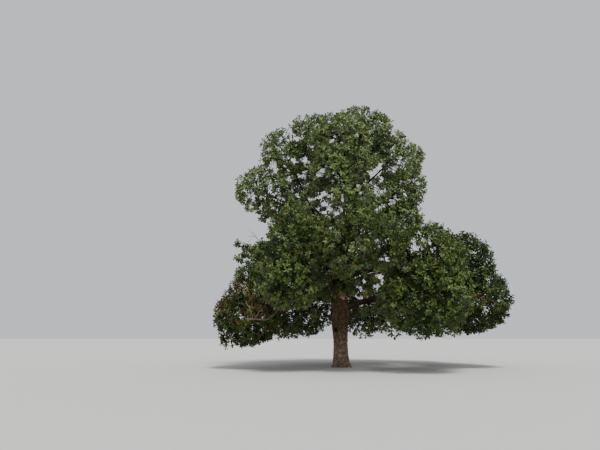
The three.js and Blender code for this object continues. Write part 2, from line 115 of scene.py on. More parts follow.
# Each tier of the crown: how high its masses sit, how far out on each side, and how large they are.
# foot is the height on the trunk where a mass's bough leaves it. on and at place a side limb: the
# bough that carries it, and how far along that bough it leaves. dense multiplies a mass's clumps.
TIERS = [
    dict(tier="low", height=3.55, right=7.2, back=5.5, left=5.3, front=4.9, bulk=2.3, masses=[
        dict(side="right", bearing=-4, height=3.7, foot=3.0, dense=1.3),
        dict(side="right_back", bearing=33, on="low_right", at=0.36),
        dict(side="back", bearing=65, height=3.8, foot=3.6),
        dict(side="left_back", bearing=124, reach=4.7, height=3.5, bulk=2.4, on="low_left", at=0.3),
        dict(side="left", bearing=194, reach=5.15, height=2.75, bulk=1.95, foot=3.4, turning=True,
             dense=1.5),
        dict(side="left_front", bearing=236, height=4.3, bulk=1.75, on="low_left", at=0.25),
        dict(side="right_front", bearing=-50, height=3.45, on="low_right", at=0.24),
    ]),
    dict(tier="mid", height=6.1, right=6.5, back=4.5, left=4.2, front=4.6, bulk=2.1, masses=[
        dict(side="right", bearing=2, reach=6.8, height=5.8, bulk=2.15, foot=4.7, dense=1.15),
        dict(side="right_back", bearing=46, height=5.8, on="mid_right", at=0.3),
        dict(side="back", bearing=97, foot=5.2),
        dict(side="left_back", bearing=145, bulk=2.0, on="mid_left", at=0.3),
        dict(side="left", bearing=191, reach=4.2, height=5.3, bulk=1.95, foot=4.6),
        dict(side="left_front", bearing=237, height=6.6, bulk=1.85, foot=5.0),
        dict(side="front", bearing=275, bulk=2.3, foot=4.4),
        dict(side="right_front", bearing=-43, height=5.5, bulk=2.05, foot=4.15),
    ]),
    dict(tier="outer", height=6.75, right=5.6, back=5.6, left=5.6, front=5.6, bulk=0.85, masses=[
        dict(side="left", bearing=186, on="mid_left", at=0.5, sparse=True),
    ]),
    dict(tier="waist", height=8.3, right=2.75, back=2.9, left=2.8, front=2.9, bulk=1.65, masses=[
        dict(side="left", bearing=190, foot=6.5),
        dict(side="right", bearing=-8, bulk=1.6, foot=6.8),
    ]),
    dict(tier="dome", height=10.2, right=2.75, back=2.7, left=5.3, front=2.7, bulk=1.95, masses=[
        dict(side="left", bearing=184, height=9.85, bulk=1.9, foot=7.7),
        dict(side="left_back", bearing=145, on="dome_left", at=0.3),
        dict(side="right_back", bearing=53, foot=8.3),
        dict(side="right", bearing=-8, height=10.0, bulk=1.7, foot=8.0),
        dict(side="front", bearing=254, bulk=2.15, foot=7.2),
    ]),
    dict(tier="crown", height=12.3, right=2.25, back=2.4, left=4.25, front=2.1, bulk=1.95, masses=[
        dict(side="left", bearing=180, height=12.45, bulk=1.85, on="dome_left", at=0.5),
        dict(side="top_left", bearing=186, reach=2.55, height=13.3, bulk=1.85, foot=10.0),
        dict(side="right", bearing=0, reach=2.35, height=12.2, foot=9.7),
        dict(side="back", bearing=106, height=12.5, bulk=2.0, foot=10.3),
        dict(side="front", bearing=241, bulk=2.0, foot=9.3),
        dict(side="top", bearing=0, reach=0.4, height=13.65, bulk=2.2, tip=True),
    ]),
]

# Neighbouring masses with clumps in the crease between them, on the side away from the trunk. The first
# of each pair carries them.
FILLED_CREASES = [
    ("dome_front", "mid_front"), ("dome_front", "waist_left"), ("dome_front", "waist_right"),
    ("crown_front", "dome_front"), ("mid_front", "mid_left_front"), ("mid_front", "mid_right_front"),
    ("mid_right", "mid_right_front"), ("mid_right", "mid_right_back"), ("mid_back", "mid_right_back"),
    ("mid_back", "mid_left_back"), ("dome_right_back", "mid_back"), ("dome_left_back", "mid_left_back"),
    ("dome_right_back", "mid_right_back"), ("dome_left_back", "mid_back"),
    ("dome_right_back", "dome_left_back"), ("crown_back", "dome_left_back"),
    ("crown_back", "dome_right_back"), ("low_right", "low_right_front"), ("low_right", "low_right_back"),
    ("low_back", "low_right_back"), ("low_back", "low_left_back"), ("low_back", "mid_back"),
    ("low_right_back", "mid_right_back"), ("low_left_back", "mid_left_back"),
    ("low_right_front", "mid_right_front"), ("low_left_front", "mid_left_front"),
    ("low_left_back", "low_left"),
]
CREASE_CLUMPS = 8
CREASE_TURN = math.radians(80)
CREASE_SCATTER = 0.1
CREASE_OUT = (0.55, 1.0)
CREASE_LEAST = 0.6

# The dead limb under the left side. Its bare arms fork from the main stem, which runs left.
DEAD_LIMB = dict(name="dead_limb", on="low_left", at=0.66, tip_radius=0.045, seed=77)
DEAD_SPACE = SimpleNamespace(name="dead_twigs", centre=np.array([-4.3, -4.0, 2.45]), bulk=1.15)
DEAD_TIP_SHARE = 0.45
DEAD_ARMS = [
    dict(name="stem", bearing=186, rise=2, reach=0.95),
    dict(name="left_arm", on="stem", at=0.65, bearing=176, rise=66, reach=0.95),
    dict(name="right_arm", on="stem", at=0.6, bearing=4, rise=52, reach=0.9),
    dict(name="spur", on="stem", at=0.2, bearing=10, rise=55, reach=0.3),
    dict(name="left_twig", on="left_arm", at=0.9, bearing=8, rise=42, reach=0.65),
    dict(name="far_twig", on="left_arm", at=0.85, bearing=195, rise=8, reach=0.33),
    dict(name="front_twig", on="stem", at=0.45, bearing=262, rise=20, reach=0.42),
    dict(name="back_twig", on="right_arm", at=0.5, bearing=95, rise=40, reach=0.33),
]

# The photograph's eye, and places on the upright plane through the trunk that it looks at: a middle
# (x, z) and half sizes. Where the sky, a bough or the wound shows through, open is the share of the
# place that its gaps take, and over 1 the whole place stays clear. The gaps are about as wide as the
# coarse grain, with edges as ragged as the fine one.
EYE = np.array([-2.25, -26.38, 1.6])
PITCH = math.radians(13.684)
GAP_GRAIN = 0.29
GAP_WEIGHT = 0.6
FINE_GAP_GRAIN = 0.13
FINE_GAP_WEIGHT = 0.36
SKY_WINDOWS = [
    dict(name="dome", middle=(-0.6, 11.4), half=(5.2, 3.6), open=0.13),
    dict(name="dome, top left", middle=(-2.75, 13.0), half=(0.75, 1.1), open=0.36),
    dict(name="dome, foot on the left", middle=(-4.4, 9.7), half=(1.2, 1.5), open=0.32),
    dict(name="dome, middle", middle=(-0.5, 10.9), half=(1.0, 1.1), open=0.36),
    dict(name="dome, right", middle=(2.1, 10.6), half=(1.1, 1.2), open=0.49),
    dict(name="neck, left", middle=(-0.4, 9.4), half=(1.0, 0.9), open=0.5),
    dict(name="neck, right", middle=(2.9, 9.5), half=(0.75, 0.6), open=0.58),
    dict(name="right shoulder", middle=(4.7, 6.75), half=(0.6, 0.4), open=0.23),
    dict(name="middle right", middle=(2.8, 6.0), half=(0.25, 0.25), open=0.9),
    dict(name="before the wound", middle=(0.26, 3.74), half=(0.38, 0.27), open=1.1),
    dict(name="over the right bough", middle=(1.68, 4.78), half=(0.95, 0.7), open=0.55),
    dict(name="before the right bough", middle=(1.5, 3.68), half=(0.72, 0.2), open=0.85),
    dict(name="under the right bough", middle=(1.72, 3.45), half=(0.5, 0.14), open=0.9),
    dict(name="left of the trunk", middle=(-1.0, 3.05), half=(0.6, 0.7), open=0.3),
    dict(name="low on the left", middle=(-2.85, 4.55), half=(0.22, 0.18), open=1.1),
    dict(name="beside the left shoulder", middle=(-5.8, 6.1), half=(0.5, 0.6), open=1.1),
    dict(name="under the dome, left", middle=(-5.2, 8.5), half=(0.6, 0.4), open=1.1),
    dict(name="beside the dome, top right", middle=(4.95, 13.9), half=(0.8, 0.7), open=1.1),
]
# The yellow green spots are painted light on sprays that the sun catches; the rust and ochre spots are
# turning leaves.
TINT_SPOTS = [
    dict(tint="yellow_green", middle=(1.03, 3.11), half=(0.35, 0.25)),
    dict(tint="yellow_green", middle=(1.36, 2.14), half=(0.3, 0.25)),
    dict(tint="yellow_green", middle=(1.42, 3.95), half=(0.25, 0.25)),
    dict(tint="rust", middle=(7.87, 3.81), half=(0.22, 0.16)),
    dict(tint="ochre", middle=(-5.19, 4.38), half=(0.25, 0.22)),
    dict(tint="ochre", middle=(-5.0, 7.9), half=(0.2, 0.15)),
]

# Clumps with a place of their own, for each mass that carries them: a middle and a size. On the left
# some stand out alone before the sky, others hang before the fork and behind the trunk, and the rest
# close the crown's edge low down, on the far right and at the top.
OWN_CLUMPS = {
    "outer_left": [
        (-5.8, -0.7, 6.75, 0.2), (-5.4, -0.5, 6.55, 0.24), (-5.68, -0.8, 5.86, 0.25),
        (-4.9, -0.5, 6.6, 0.3), (-4.5, -0.6, 6.75, 0.3), (-5.38, -0.8, 6.05, 0.16),
    ],
    "low_left": [
        (-5.6, -1.2, 4.75, 0.42), (-5.78, -1.2, 4.4, 0.42), (-6.1, -1.2, 3.95, 0.4),
        (-5.6, -1.6, 4.4, 0.42), (-6.35, -1.2, 1.65, 0.36), (-6.15, -1.2, 1.32, 0.36),
        (-3.9, 1.0, 2.5, 0.42), (-4.0, 1.0, 2.0, 0.42),
    ],
    "low_left_back": [
        (-3.5, 1.0, 1.85, 0.42), (-2.95, 1.5, 1.9, 0.42), (-2.35, 1.5, 2.0, 0.42),
        (-2.25, 1.5, 2.5, 0.42), (-1.8, 1.5, 2.1, 0.42), (-1.35, 1.6, 2.1, 0.4),
        (-1.2, 2.0, 3.35, 0.42), (-0.75, 1.9, 3.5, 0.36), (-0.6, 1.9, 3.1, 0.36),
        (-0.9, 2.0, 2.85, 0.36), (-1.35, 2.1, 2.75, 0.42), (-0.6, 1.8, 2.55, 0.36),
        (-1.0, 2.0, 2.35, 0.36),
    ],
    "low_right_front": [(1.85, -3.1, 2.05, 0.42), (2.3, -3.1, 1.95, 0.42), (5.5, -2.6, 1.9, 0.42)],
    "mid_right": [(8.6, 0.8, 6.33, 0.36)],
    "low_right": [
        (8.3, 1.0, 4.36, 0.42), (7.45, 1.0, 2.78, 0.4), (7.85, 1.2, 3.05, 0.4), (6.3, -0.5, 2.1, 0.42),
    ],
    "low_back": [(0.85, 1.8, 2.1, 0.4), (1.35, 1.9, 1.95, 0.42), (1.9, 1.9, 1.9, 0.42)],
    "mid_right_back": [(1.35, 2.2, 5.0, 0.32), (1.95, 2.2, 5.3, 0.32)],
    "crown_top_left": [(-0.35, 0.0, 15.05, 0.32), (-0.9, 0.0, 14.85, 0.32)],
    "low_left_front": [
        (-1.5, -1.4, 3.95, 0.42), (-1.0, -1.3, 3.95, 0.42), (-0.5, -1.2, 4.05, 0.42),
        (-0.1, -1.1, 4.35, 0.42),
    ],
}

# The bare twigs over the clumps that stand out alone, each a curve's three control points.
BARE_TWIGS = np.array([
    [(-4.35, -0.5, 6.55), (-4.58, -0.5, 7.1), (-5.27, -0.55, 7.66)],
    [(-4.5, -0.5, 6.9), (-4.83, -0.5, 7.12), (-4.96, -0.6, 7.5)],
    [(-4.78, -0.52, 7.2), (-5.03, -0.55, 7.24), (-5.18, -0.55, 7.2)],
])

# The tints, from dark to light and then the turning ones. The greens deep, mid and light are dealt partly
# as painted shade and painted light, and yellow green is painted light.
TINTS = ["deep", "mid", "light", "olive", "yellow_green", "brown", "rust", "ochre"]


def colour_property(name, description, default):
    """A colour that can be set, in linear red, green and blue."""
    return bpy.props.FloatVectorProperty(
        name=name, description=description, default=default, subtype="COLOR", size=3,
    )


class OakBarkSettings(bpy.types.PropertyGroup):
    """Relief and colours of the bark and the dead wood."""

    fissure_depth: bpy.props.FloatProperty(
        name="Fissure depth", description="Depth of the grooves at the foot of the trunk",
        default=0.032, min=0, unit="LENGTH",
    )
    ridge_spacing: bpy.props.FloatProperty(
        name="Ridge spacing", description="From one ridge of bark to the next, round the trunk",
        default=0.11, min=0.01, unit="LENGTH",
    )
    foot_colour: colour_property(
        "Foot colour", "Grey brown of the bark on the lower trunk", (0.54, 0.37, 0.26),
    )
    upper_colour: colour_property(
        "Upper colour", "Darker brown of the upper trunk", (0.20, 0.135, 0.072),
    )
    bough_colour: colour_property("Bough colour", "Dark brown of the boughs", (0.08, 0.058, 0.034))
    wound_colour: colour_property(
        "Wound colour", "Reddish wood where a bough tore away at the fork", (0.85, 0.48, 0.40),
    )
    torn_colour: colour_property(
        "Torn colour", "Dark red between the pale tears of the wound", (0.17, 0.04, 0.03),
    )
    dead_colour: colour_property(
        "Dead wood colour", "Pale weathered wood of the dead limb", (0.30, 0.25, 0.19),
    )


class OakFoliageSettings(bpy.types.PropertyGroup):
    """How densely the masses grow, and the leaves' size and colours."""

    leaf_length: bpy.props.FloatProperty(
        name="Leaf length", description="Length of a leaf's blade, larger than life",
        default=0.18, min=0.02, unit="LENGTH",
    )
    leaves_per_spray: bpy.props.IntProperty(
        name="Leaves per spray", description="Leaves round the end of each shoot", default=6, min=1,
    )
    branch_density: bpy.props.FloatProperty(
        name="Branch density", description="Branches of a mass, times the square of its bulk",
        default=3.2, min=0.1,
    )
    clump_density: bpy.props.FloatProperty(
        name="Clump density", description="Clumps of sprays in a mass, times the square of its bulk",
        default=19.0, min=0.5,
    )
    sprays_per_clump: bpy.props.IntProperty(
        name="Sprays per clump", description="Shoots with leaves in each clump", default=9, min=1,
    )
    clump_radius: bpy.props.FloatProperty(
        name="Clump radius", description="How far a clump's sprays stand from its middle",
        default=0.42, min=0.05, unit="LENGTH",
    )
    # The greens are dealt to sprays partly as painted shade and painted light: deep for those deep
    # inside, light for those high up, far out and on a clump's lit side.
    deep: colour_property("Deep green", "Shaded leaves", (0.021, 0.043, 0.002))
    mid: colour_property("Mid green", "Most leaves", (0.061, 0.099, 0.013))
    light: colour_property("Light green", "Leaves at the top and outside", (0.106, 0.152, 0.040))
    olive: colour_property("Olive", "Leaves that have begun to turn", (0.12, 0.115, 0.020))
    # Yellow green paints light on sprays that the sun catches.
    yellow_green: colour_property("Yellow green", "A few bright sprays", (0.22, 0.25, 0.03))
    brown: colour_property("Brown", "Withered leaves, low on the left", (0.08, 0.05, 0.016))
    rust: colour_property("Rust", "A few rusty sprays", (0.11, 0.045, 0.018))
    ochre: colour_property("Ochre", "A few orange and yellow sprays", (0.26, 0.165, 0.03))
    # The dome's leaves are lighter and greyer copies of the skirt's: painted light and a painted sheen of
    # sky.
    dome_painted_light: bpy.props.FloatProperty(
        name="Dome light", description="How much lighter the dome's leaves are than the skirt's",
        default=1.5, min=0.1,
    )
    dome_sheen_grey: colour_property(
        "Dome grey", "The grey green that the dome's leaves tend to", (0.16, 0.19, 0.11),
    )


class OakStageSettings(bpy.types.PropertyGroup):
    """Camera, floor and light."""

    lens: bpy.props.FloatProperty(
        name="Lens", description="Focal length of the photograph's view", default=27.6, min=1,
        unit="CAMERA",
    )
    sun_strength: bpy.props.FloatProperty(
        name="Sun strength", description="Soft light from high on the right", default=3.2, min=0,
    )
    sky_strength: bpy.props.FloatProperty(
        name="Sky strength", description="Even light from all round", default=0.75, min=0,
    )
    floor_colour: colour_property("Floor colour", "Plain pale floor", (0.58, 0.57, 0.55))


def chance(index, seed):
    """A repeatable number from 0 to 1: what is left of a large multiple of a sine of both."""
    wave = np.sin(np.asarray(index) * 12.9898 + seed * 78.233) * 43758.5453
    return wave - np.floor(wave)


def unit(vectors):
    """Vectors divided by their own lengths."""
    return vectors / np.maximum(np.linalg.norm(vectors, axis=-1, keepdims=True), 1e-9)


def smoothstep(value, low, high):
    """0 below low, 1 above high, and 3s^2 - 2s^3 between."""
    share = np.clip((value - low) / (high - low), 0, 1)
    return share * share * (3 - 2 * share)


def polar(bearing):
    """The level direction at a bearing."""
    return np.array([math.cos(math.radians(bearing)), math.sin(math.radians(bearing)), 0.0])


def spread_directions(count, turn):
    """Directions spread evenly over a ball: equal steps of height, and the golden angle round."""
    index = np.arange(count)
    height = 1 - (2 * index + 1) / count
    out = np.sqrt(1 - height**2)
    angle = index * GOLDEN_ANGLE + turn
    return np.stack([out * np.cos(angle), out * np.sin(angle), height], axis=-1)


NOISE_TABLE = np.random.default_rng(11).uniform(-1, 1, 8192)
NOISE_STEPS = np.array([73, 1097, 3989])
NOISE_SEED_STEP = 389


def lattice_noise(points, seed):
    """Smooth noise from -1 to 1: a random value at each whole-number corner, blended between the
    eight corners round a point by eased weights."""
    cell = np.floor(points).astype(np.int64)
    part = points - cell
    ease = part * part * (3 - 2 * part)
    total = np.zeros(points.shape[:-1])
    for corner in np.ndindex(2, 2, 2):
        index = ((cell + corner) @ NOISE_STEPS + seed * NOISE_SEED_STEP) % len(NOISE_TABLE)
        weight = np.prod(np.where(corner, ease, 1 - ease), axis=-1)
        total += weight * NOISE_TABLE[index]
    return total


def bezier(curves, share):
    """Points of quadratic curves, each of three control points, at a share of the way along."""
    share = np.asarray(share)[..., None]
    first, middle, last = curves[..., 0, :], curves[..., 1, :], curves[..., 2, :]
    return (1 - share) ** 2 * first + 2 * share * (1 - share) * middle + share**2 * last


def sweep(middle, reference, radius):
    """Rings of points carried along centre lines. A ring is square to its line's direction, starts
    where the reference points, made square to the line, and has radius at each ring and side."""
    along = unit(np.gradient(middle, axis=-2))
    facing = np.cross(np.cross(along, reference[..., None, :]), along)
    facing = unit(facing)
    beside = np.cross(along, facing)
    angle = np.arange(radius.shape[-1]) * (2 * math.pi / radius.shape[-1])
    ring = np.cos(angle)[:, None] * facing[..., None, :] + np.sin(angle)[:, None] * beside[..., None, :]
    return middle[..., None, :] + radius[..., None] * ring


def sweep_faces(count, rings, sides):
    """The faces of count swept shapes: quads between the rings, and a flat cap at each end."""
    first = (np.arange(count) * rings * sides)[:, None, None]
    low = first + np.arange(rings - 1)[None, :, None] * sides
    side = np.arange(sides)[None, None, :]
    beside = (side + 1) % sides
    quads = np.stack([low + side, low + beside, low + sides + beside, low + sides + side], axis=-1)
    start = first[:, 0] + np.arange(sides)[::-1]
    end = first[:, 0] + (rings - 1) * sides + np.arange(sides)
    return [quads.reshape(-1, 4), start, end]


def square_reference(curves):
    """For each curve a direction square to its chord: its chord crossed with the axis least like it."""
    chord = unit(curves[:, -1] - curves[:, 0])
    axis = np.eye(3)[np.argmin(np.abs(chord), axis=-1)]
    return unit(np.cross(chord, axis))


def tubes(curves, start_radius, end_radius, steps, sides):
    """Tapering tubes along quadratic curves, as points and faces of one mesh."""
    share = np.linspace(0, 1, steps + 1)
    middle = bezier(curves[:, None], share[None, :])
    radius = start_radius[:, None] + (end_radius - start_radius)[:, None] * share
    rings = sweep(middle, square_reference(curves), np.repeat(radius[..., None], sides, axis=-1))
    return rings.reshape(-1, 3), sweep_faces(len(curves), steps + 1, sides)


def joined(parts):
    """Several (points, face sets) as one, with each part's faces counted on from the last."""
    points = np.concatenate([part[0] for part in parts])
    starts = np.cumsum([0] + [len(part[0]) for part in parts[:-1]])
    return points, [faces + start for start, part in zip(starts, parts) for faces in part[1]]


def make_piece(name, points, face_sets, materials, smooth=True, dealt=None, leaf_map=None, relief=None):
    """A mesh object from arrays. Each face set has faces of one size. dealt is each face's material
    number, leaf_map each corner's place on its leaf, and relief each point's height on the bark."""
    mesh = bpy.data.meshes.new(name)
    corners = np.concatenate([faces.ravel() for faces in face_sets]).astype(np.int32)
    sizes = np.concatenate([np.full(len(faces), faces.shape[1]) for faces in face_sets])
    starts = np.concatenate([[0], np.cumsum(sizes)[:-1]]).astype(np.int32)
    mesh.vertices.add(len(points))
    mesh.vertices.foreach_set("co", points.astype(np.float32).ravel())
    mesh.loops.add(len(corners))
    mesh.loops.foreach_set("vertex_index", corners)
    mesh.polygons.add(len(sizes))
    mesh.polygons.foreach_set("loop_start", starts)
    mesh.polygons.foreach_set("use_smooth", np.full(len(sizes), smooth))
    for material in materials:
        mesh.materials.append(material)
    if dealt is not None:
        mesh.polygons.foreach_set("material_index", dealt.astype(np.int32))
    if leaf_map is not None:
        layer = mesh.uv_layers.new(name="leaf")
        layer.uv.foreach_set("vector", leaf_map.astype(np.float32).ravel())
    if relief is not None:
        heights = mesh.attributes.new("relief", "FLOAT", "POINT")
        heights.data.foreach_set("value", relief.astype(np.float32))
    mesh.update(calc_edges=True)
    if mesh.validate():
        raise RuntimeError(f"{name}: its mesh had faces that had to be mended")
    piece = bpy.data.objects.new(name, mesh)
    bpy.context.scene.collection.objects.link(piece)
    return piece


def place_piece(piece, nodes):
    """A piece rides on the tree and stands for these solids."""
    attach(piece, BODY)
    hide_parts(*nodes)


def trunk_axis(height):
    """The trunk's centre line: upright to where the lean begins, then eased over to the right."""
    height = np.asarray(height, float)
    lean = TRUNK_LEAN * smoothstep(height, LEAN_FROM, LEAN_TO)
    return np.stack([lean, np.zeros_like(height), height], axis=-1)


def trunk_girth(height):
    """The trunk's mean radius: straight lines between its named girths."""
    return np.interp(height, GIRTH_HEIGHTS, GIRTH_RADII)


def trunk_radius(height, angle):
    """The trunk's radius: its girth, times a flare and buttresses that die away upwards."""
    flare = np.exp(-height / FLARE_HEIGHT)
    buttress = np.cos(BUTTRESSES * angle + BUTTRESS_TURN)
    return trunk_girth(height) * (1 + flare * (FLARE_SPREAD + BUTTRESS_DEPTH * buttress))


def squashed(vectors):
    """Vectors in the space where a flattened ball is round."""
    return vectors / np.array([1, 1, FLATTEN])


def room(mass, directions):
    """How far a mass's space reaches along directions in squashed space: its bulk, or nearer where
    a parting plane cuts across, at limit / (direction . way)."""
    toward = directions @ mass.ways.T
    reach = np.where(toward > 1e-6, mass.limits / np.maximum(toward, 1e-6), np.inf)
    return np.minimum(reach.min(axis=-1, initial=np.inf), mass.bulk)


def space_point(mass, directions, share):
    """The point at a share of the space's reach along each direction."""
    out = directions * (share * room(mass, directions))[..., None]
    return mass.centre + out * np.array([1, 1, FLATTEN])


def in_space(mass, points, inset):
    """Whether points lie in a mass's own space, and deeper than inset under its rounded face."""
    out = squashed(points - mass.centre)
    near = np.linalg.norm(out, axis=-1) <= mass.bulk - inset
    return near & (out @ mass.ways.T <= mass.limits).all(axis=-1)


def place_masses():
    """Every mass of leaves with its centre, from the tiers, and the planes that part them."""
    masses = []
    for tier in TIERS:
        for row in tier["masses"]:
            way = polar(row["bearing"])
            across = tier["right"] if way[0] > 0 else tier["left"]
            deep = tier["back"] if way[1] > 0 else tier["front"]
            reach = row.get("reach", 1 / math.hypot(way[0] / across, way[1] / deep))
            height = row.get("height", tier["height"])
            masses.append(SimpleNamespace(
                name=f"{tier['tier']}_{row['side']}", tier=tier["tier"], row=row,
                centre=trunk_axis(height) + way * reach, bulk=row.get("bulk", tier["bulk"]),
                sparse=row.get("sparse", False), turning=row.get("turning", False),
                dense=row.get("dense", 1.0), seed=len(masses) + 1,
            ))
    spaces = masses + [DEAD_SPACE]
    for mass in spaces:
        others = [other for other in spaces if other is not mass]
        ways = squashed(np.array([other.centre for other in others]) - mass.centre)
        apart = np.linalg.norm(ways, axis=-1)
        bulks = np.array([other.bulk for other in others])
        limits = (apart**2 + mass.bulk**2 - bulks**2) / (2 * apart) - SPACE_MARGIN
        near = limits < mass.bulk
        mass.ways, mass.limits = (ways / apart[:, None])[near], limits[near]
    for mass in masses:
        mass.creases = [other for other in masses if (mass.name, other.name) in FILLED_CREASES]
    return masses


def limb_path(start, end, centre, lift, seed):
    """A limb's centre line: a cubic curve that leaves rising and ends heading for its mass, swung a
    little from side to side by a sine, with its points an equal way apart."""
    span = np.linalg.norm(end - start)
    level = unit((end - start) * np.array([1, 1, 0]))
    leave = unit(level + np.array([0, 0, lift]))
    arrive = unit(centre - end)
    share = np.linspace(0, 1, PATH_SAMPLES)[:, None]
    first = start + leave * span * LEAVE_SHARE
    last = end - arrive * span * ARRIVE_SHARE
    bend = (1 - share) ** 3 * start + 3 * share * (1 - share) ** 2 * first
    bend = bend + 3 * share**2 * (1 - share) * last + share**3 * end
    side = np.array([-level[1], level[0], 0])
    phase = chance(1, seed) * LARGEST_PHASE
    turn = share * math.pi
    path = bend + side * np.sin(2 * turn + phase) * np.sin(turn) * span * LIMB_CROOK
    return evenly(path)


def evenly(path):
    """The same line with its points an equal length apart."""
    gone = np.concatenate([[0], np.cumsum(np.linalg.norm(np.diff(path, axis=0), axis=1))])
    wanted = np.linspace(0, gone[-1], len(path))
    return np.stack([np.interp(wanted, gone, path[:, axis]) for axis in range(3)], axis=-1)


def path_point(path, share):
    """The point at a share of a line's length."""
    place = np.asarray(share) * (len(path) - 1)
    index = np.arange(len(path))
    return np.stack([np.interp(place, index, path[:, axis]) for axis in range(3)], axis=-1)


def limb_radius(limb, share):
    """A limb's radius: a straight taper, with a collar that dies away from its parent."""
    past = np.maximum(0, share * limb.length - limb.parent_radius)
    collar = LIMB_COLLAR * np.exp(-past / (COLLAR_FADE * limb.base_radius))
    taper = limb.base_radius + (limb.tip_radius - limb.base_radius) * share
    return taper * (1 + collar * (1 - share))


def make_limb(row, mass, limbs, seed):
    """One limb: it starts on the trunk's axis or its parent's, and ends inside its mass."""
    parent = limbs.get(row.get("on"))
    start = path_point(parent.path, row["at"]) if parent else trunk_axis(row["foot"])
    parent_radius = limb_radius(parent, row["at"]) if parent else trunk_girth(row["foot"])
    inward = unit(squashed(start) - squashed(mass.centre))
    end = space_point(mass, inward, ENTRY)
    steepness = (end[2] - start[2]) / math.hypot(end[0] - start[0], end[1] - start[1])
    lift = max(steepness + LIFT_OVER_CHORD, SIDE_LIFT if parent else TRUNK_LIFT)
    path = limb_path(start, end, mass.centre, lift, seed)
    length = np.linalg.norm(np.diff(path, axis=0), axis=1).sum()
    tip_radius = row.get("tip_radius", mass.bulk * LIMB_TIP_SHARE)
    base_radius = min(tip_radius + LIMB_TAPER * length, parent_radius * SIDE_LIMB_SHARE)
    return SimpleNamespace(
        path=path, length=length, parent=parent, parent_radius=parent_radius,
        base_radius=base_radius, tip_radius=tip_radius, seed=seed,
    )


def grow_skeleton():
    """The masses and every limb by name, those on the trunk before those on other boughs."""
    masses = place_masses()
    carried = [mass for mass in masses if "tip" not in mass.row]
    carried.sort(key=lambda mass: "on" in mass.row)
    limbs = {}
    for number, mass in enumerate(carried):
        limbs[mass.name] = make_limb(mass.row, mass, limbs, number + 1)
    limbs[DEAD_LIMB["name"]] = make_limb(DEAD_LIMB, DEAD_SPACE, limbs, DEAD_LIMB["seed"])
    return masses, limbs


def limb_samples(limbs):
    """Points along the trunk and all limbs with their radii, to keep twigs and leaves clear of them."""
    heights = np.linspace(0, TRUNK_TOP, TRUNK_SAMPLES)
    places, radii = [trunk_axis(heights)], [trunk_girth(heights)]
    for limb in limbs.values():
        share = np.linspace(0, 1, PATH_SAMPLES)
        places.append(limb.path)
        radii.append(limb_radius(limb, share))
    return np.concatenate(places), np.concatenate(radii)


def clear_of(points, samples, gap):
    """Whether points stay further than gap from every limb."""
    places, radii = samples
    apart = np.linalg.norm(points[:, None] - places[None], axis=-1)
    return (apart - radii > gap).all(axis=-1)


def seen_at(points):
    """Where the photograph's eye sees points on the upright plane through the trunk: x and z of the
    line from the eye through each point, followed on or back to y = 0."""
    toward = points - EYE
    return (EYE + toward * (-EYE[1] / toward[:, 1])[:, None])[:, [0, 2]]


def within(places, spot):
    """Whether places on that plane lie in an ellipse of this middle and these half sizes."""
    off = (places - np.array(spot["middle"])) / np.array(spot["half"])
    return (off**2).sum(axis=-1) < 1


def sky_shows(seen):
    """Whether places on that plane lie in a gap: inside a window, where the sum of a coarse and a fine
    smooth noise, brought to about even shares from 0 to 1, is under the window's open share."""
    coarse = lattice_noise(np.column_stack([seen / GAP_GRAIN, np.zeros(len(seen))]), seed=31)
    fine = lattice_noise(np.column_stack([seen / FINE_GAP_GRAIN, np.zeros(len(seen))]), seed=37)
    pattern = 0.5 + GAP_WEIGHT * coarse + FINE_GAP_WEIGHT * fine
    gaps = [within(seen, window) & (pattern < window["open"]) for window in SKY_WINDOWS]
    return np.any(gaps, axis=0)


# How a mass is filled: how far out its branches end and its clumps stand, as shares of its reach, the
# share of clumps that stand deeper in, and the share kept on the faces turned to its neighbours and to
# the trunk.
FIRST_MASS_SEED = 1000
LEAST_BRANCHES = 5
BRANCH_OUT = (0.5, 0.68)
SHELL_OUT = (0.8, 0.89)
INNER_OUT = (0.4, 0.66)
INNER_SHARE = 0.22
HIDDEN_ROOM = 0.55
HIDDEN_KEPT = 0.5
CLUMP_SCATTER = 0.07

# Where branches leave the stem, twigs their branch and shoots their twig, as shares of its length.
STEM_MIDDLE = 0.5
STEM_SPREAD = 0.4
STEM_CHANCE = 0.1
STEM_RANGE = (0.08, 0.95)
TWIG_FROM = (0.45, 0.98)
SHOOT_FROM = (0.4, 1.0)

# How branches, twigs and shoots bow: outwards, upwards and by chance, as shares of their length.
BOW_OUT = 0.12
BOW_UP = 0.08
BOW_CHANCE = 0.07

# Twigs along the boughs and the trunk's upper part: how far apart, how far they reach, from where on,
# and how much they lean along the bough.
BOUGH_TWIG_STEP = 0.29
BOUGH_TWIG_REACH = (0.4, 1.25)
BOUGH_TWIG_FROM = 0.18
TRUNK_TWIG_STEP = 0.15
TRUNK_TWIG_REACH = (0.5, 1.7)
TRUNK_TWIG_FROM = 6.2
TWIG_LEAN = 0.3
NEARBY_SHARE = 0.02

# A clump: how far from its middle its sprays stand, in clump sizes, how deep it is beside its width,
# how unevenly its sprays point and how much they turn outwards, and where its lit side faces, the side
# whose sprays get painted light.
SPRAY_OUT = (0.45, 1.1)
CLUMP_DEPTH = 0.6
SPRAY_SCATTER = 0.22
SPRAY_OUTWARD = 0.55
LIT_OUTWARD = 0.6
LIT_UPWARD = 0.8

# The least distances: of clumps and of twigs from a limb, and of sprays from their space's face and
# from the ground.
CLUMP_CLEAR = 0.12
TWIG_CLEAR = 0.03
SPRAY_INSET = 0.06
LOWEST_SPRAY = 1.0

# The wood of a mass: what its radii are at both ends where its bulk is full.
FULL_BULK = 2.0
STEM_START = 0.97
STEM_END = 0.02
BRANCH_RADII = (0.034, 0.014)
TWIG_RADII = (0.013, 0.0065)
SHOOT_RADII = (0.006, 0.0035)


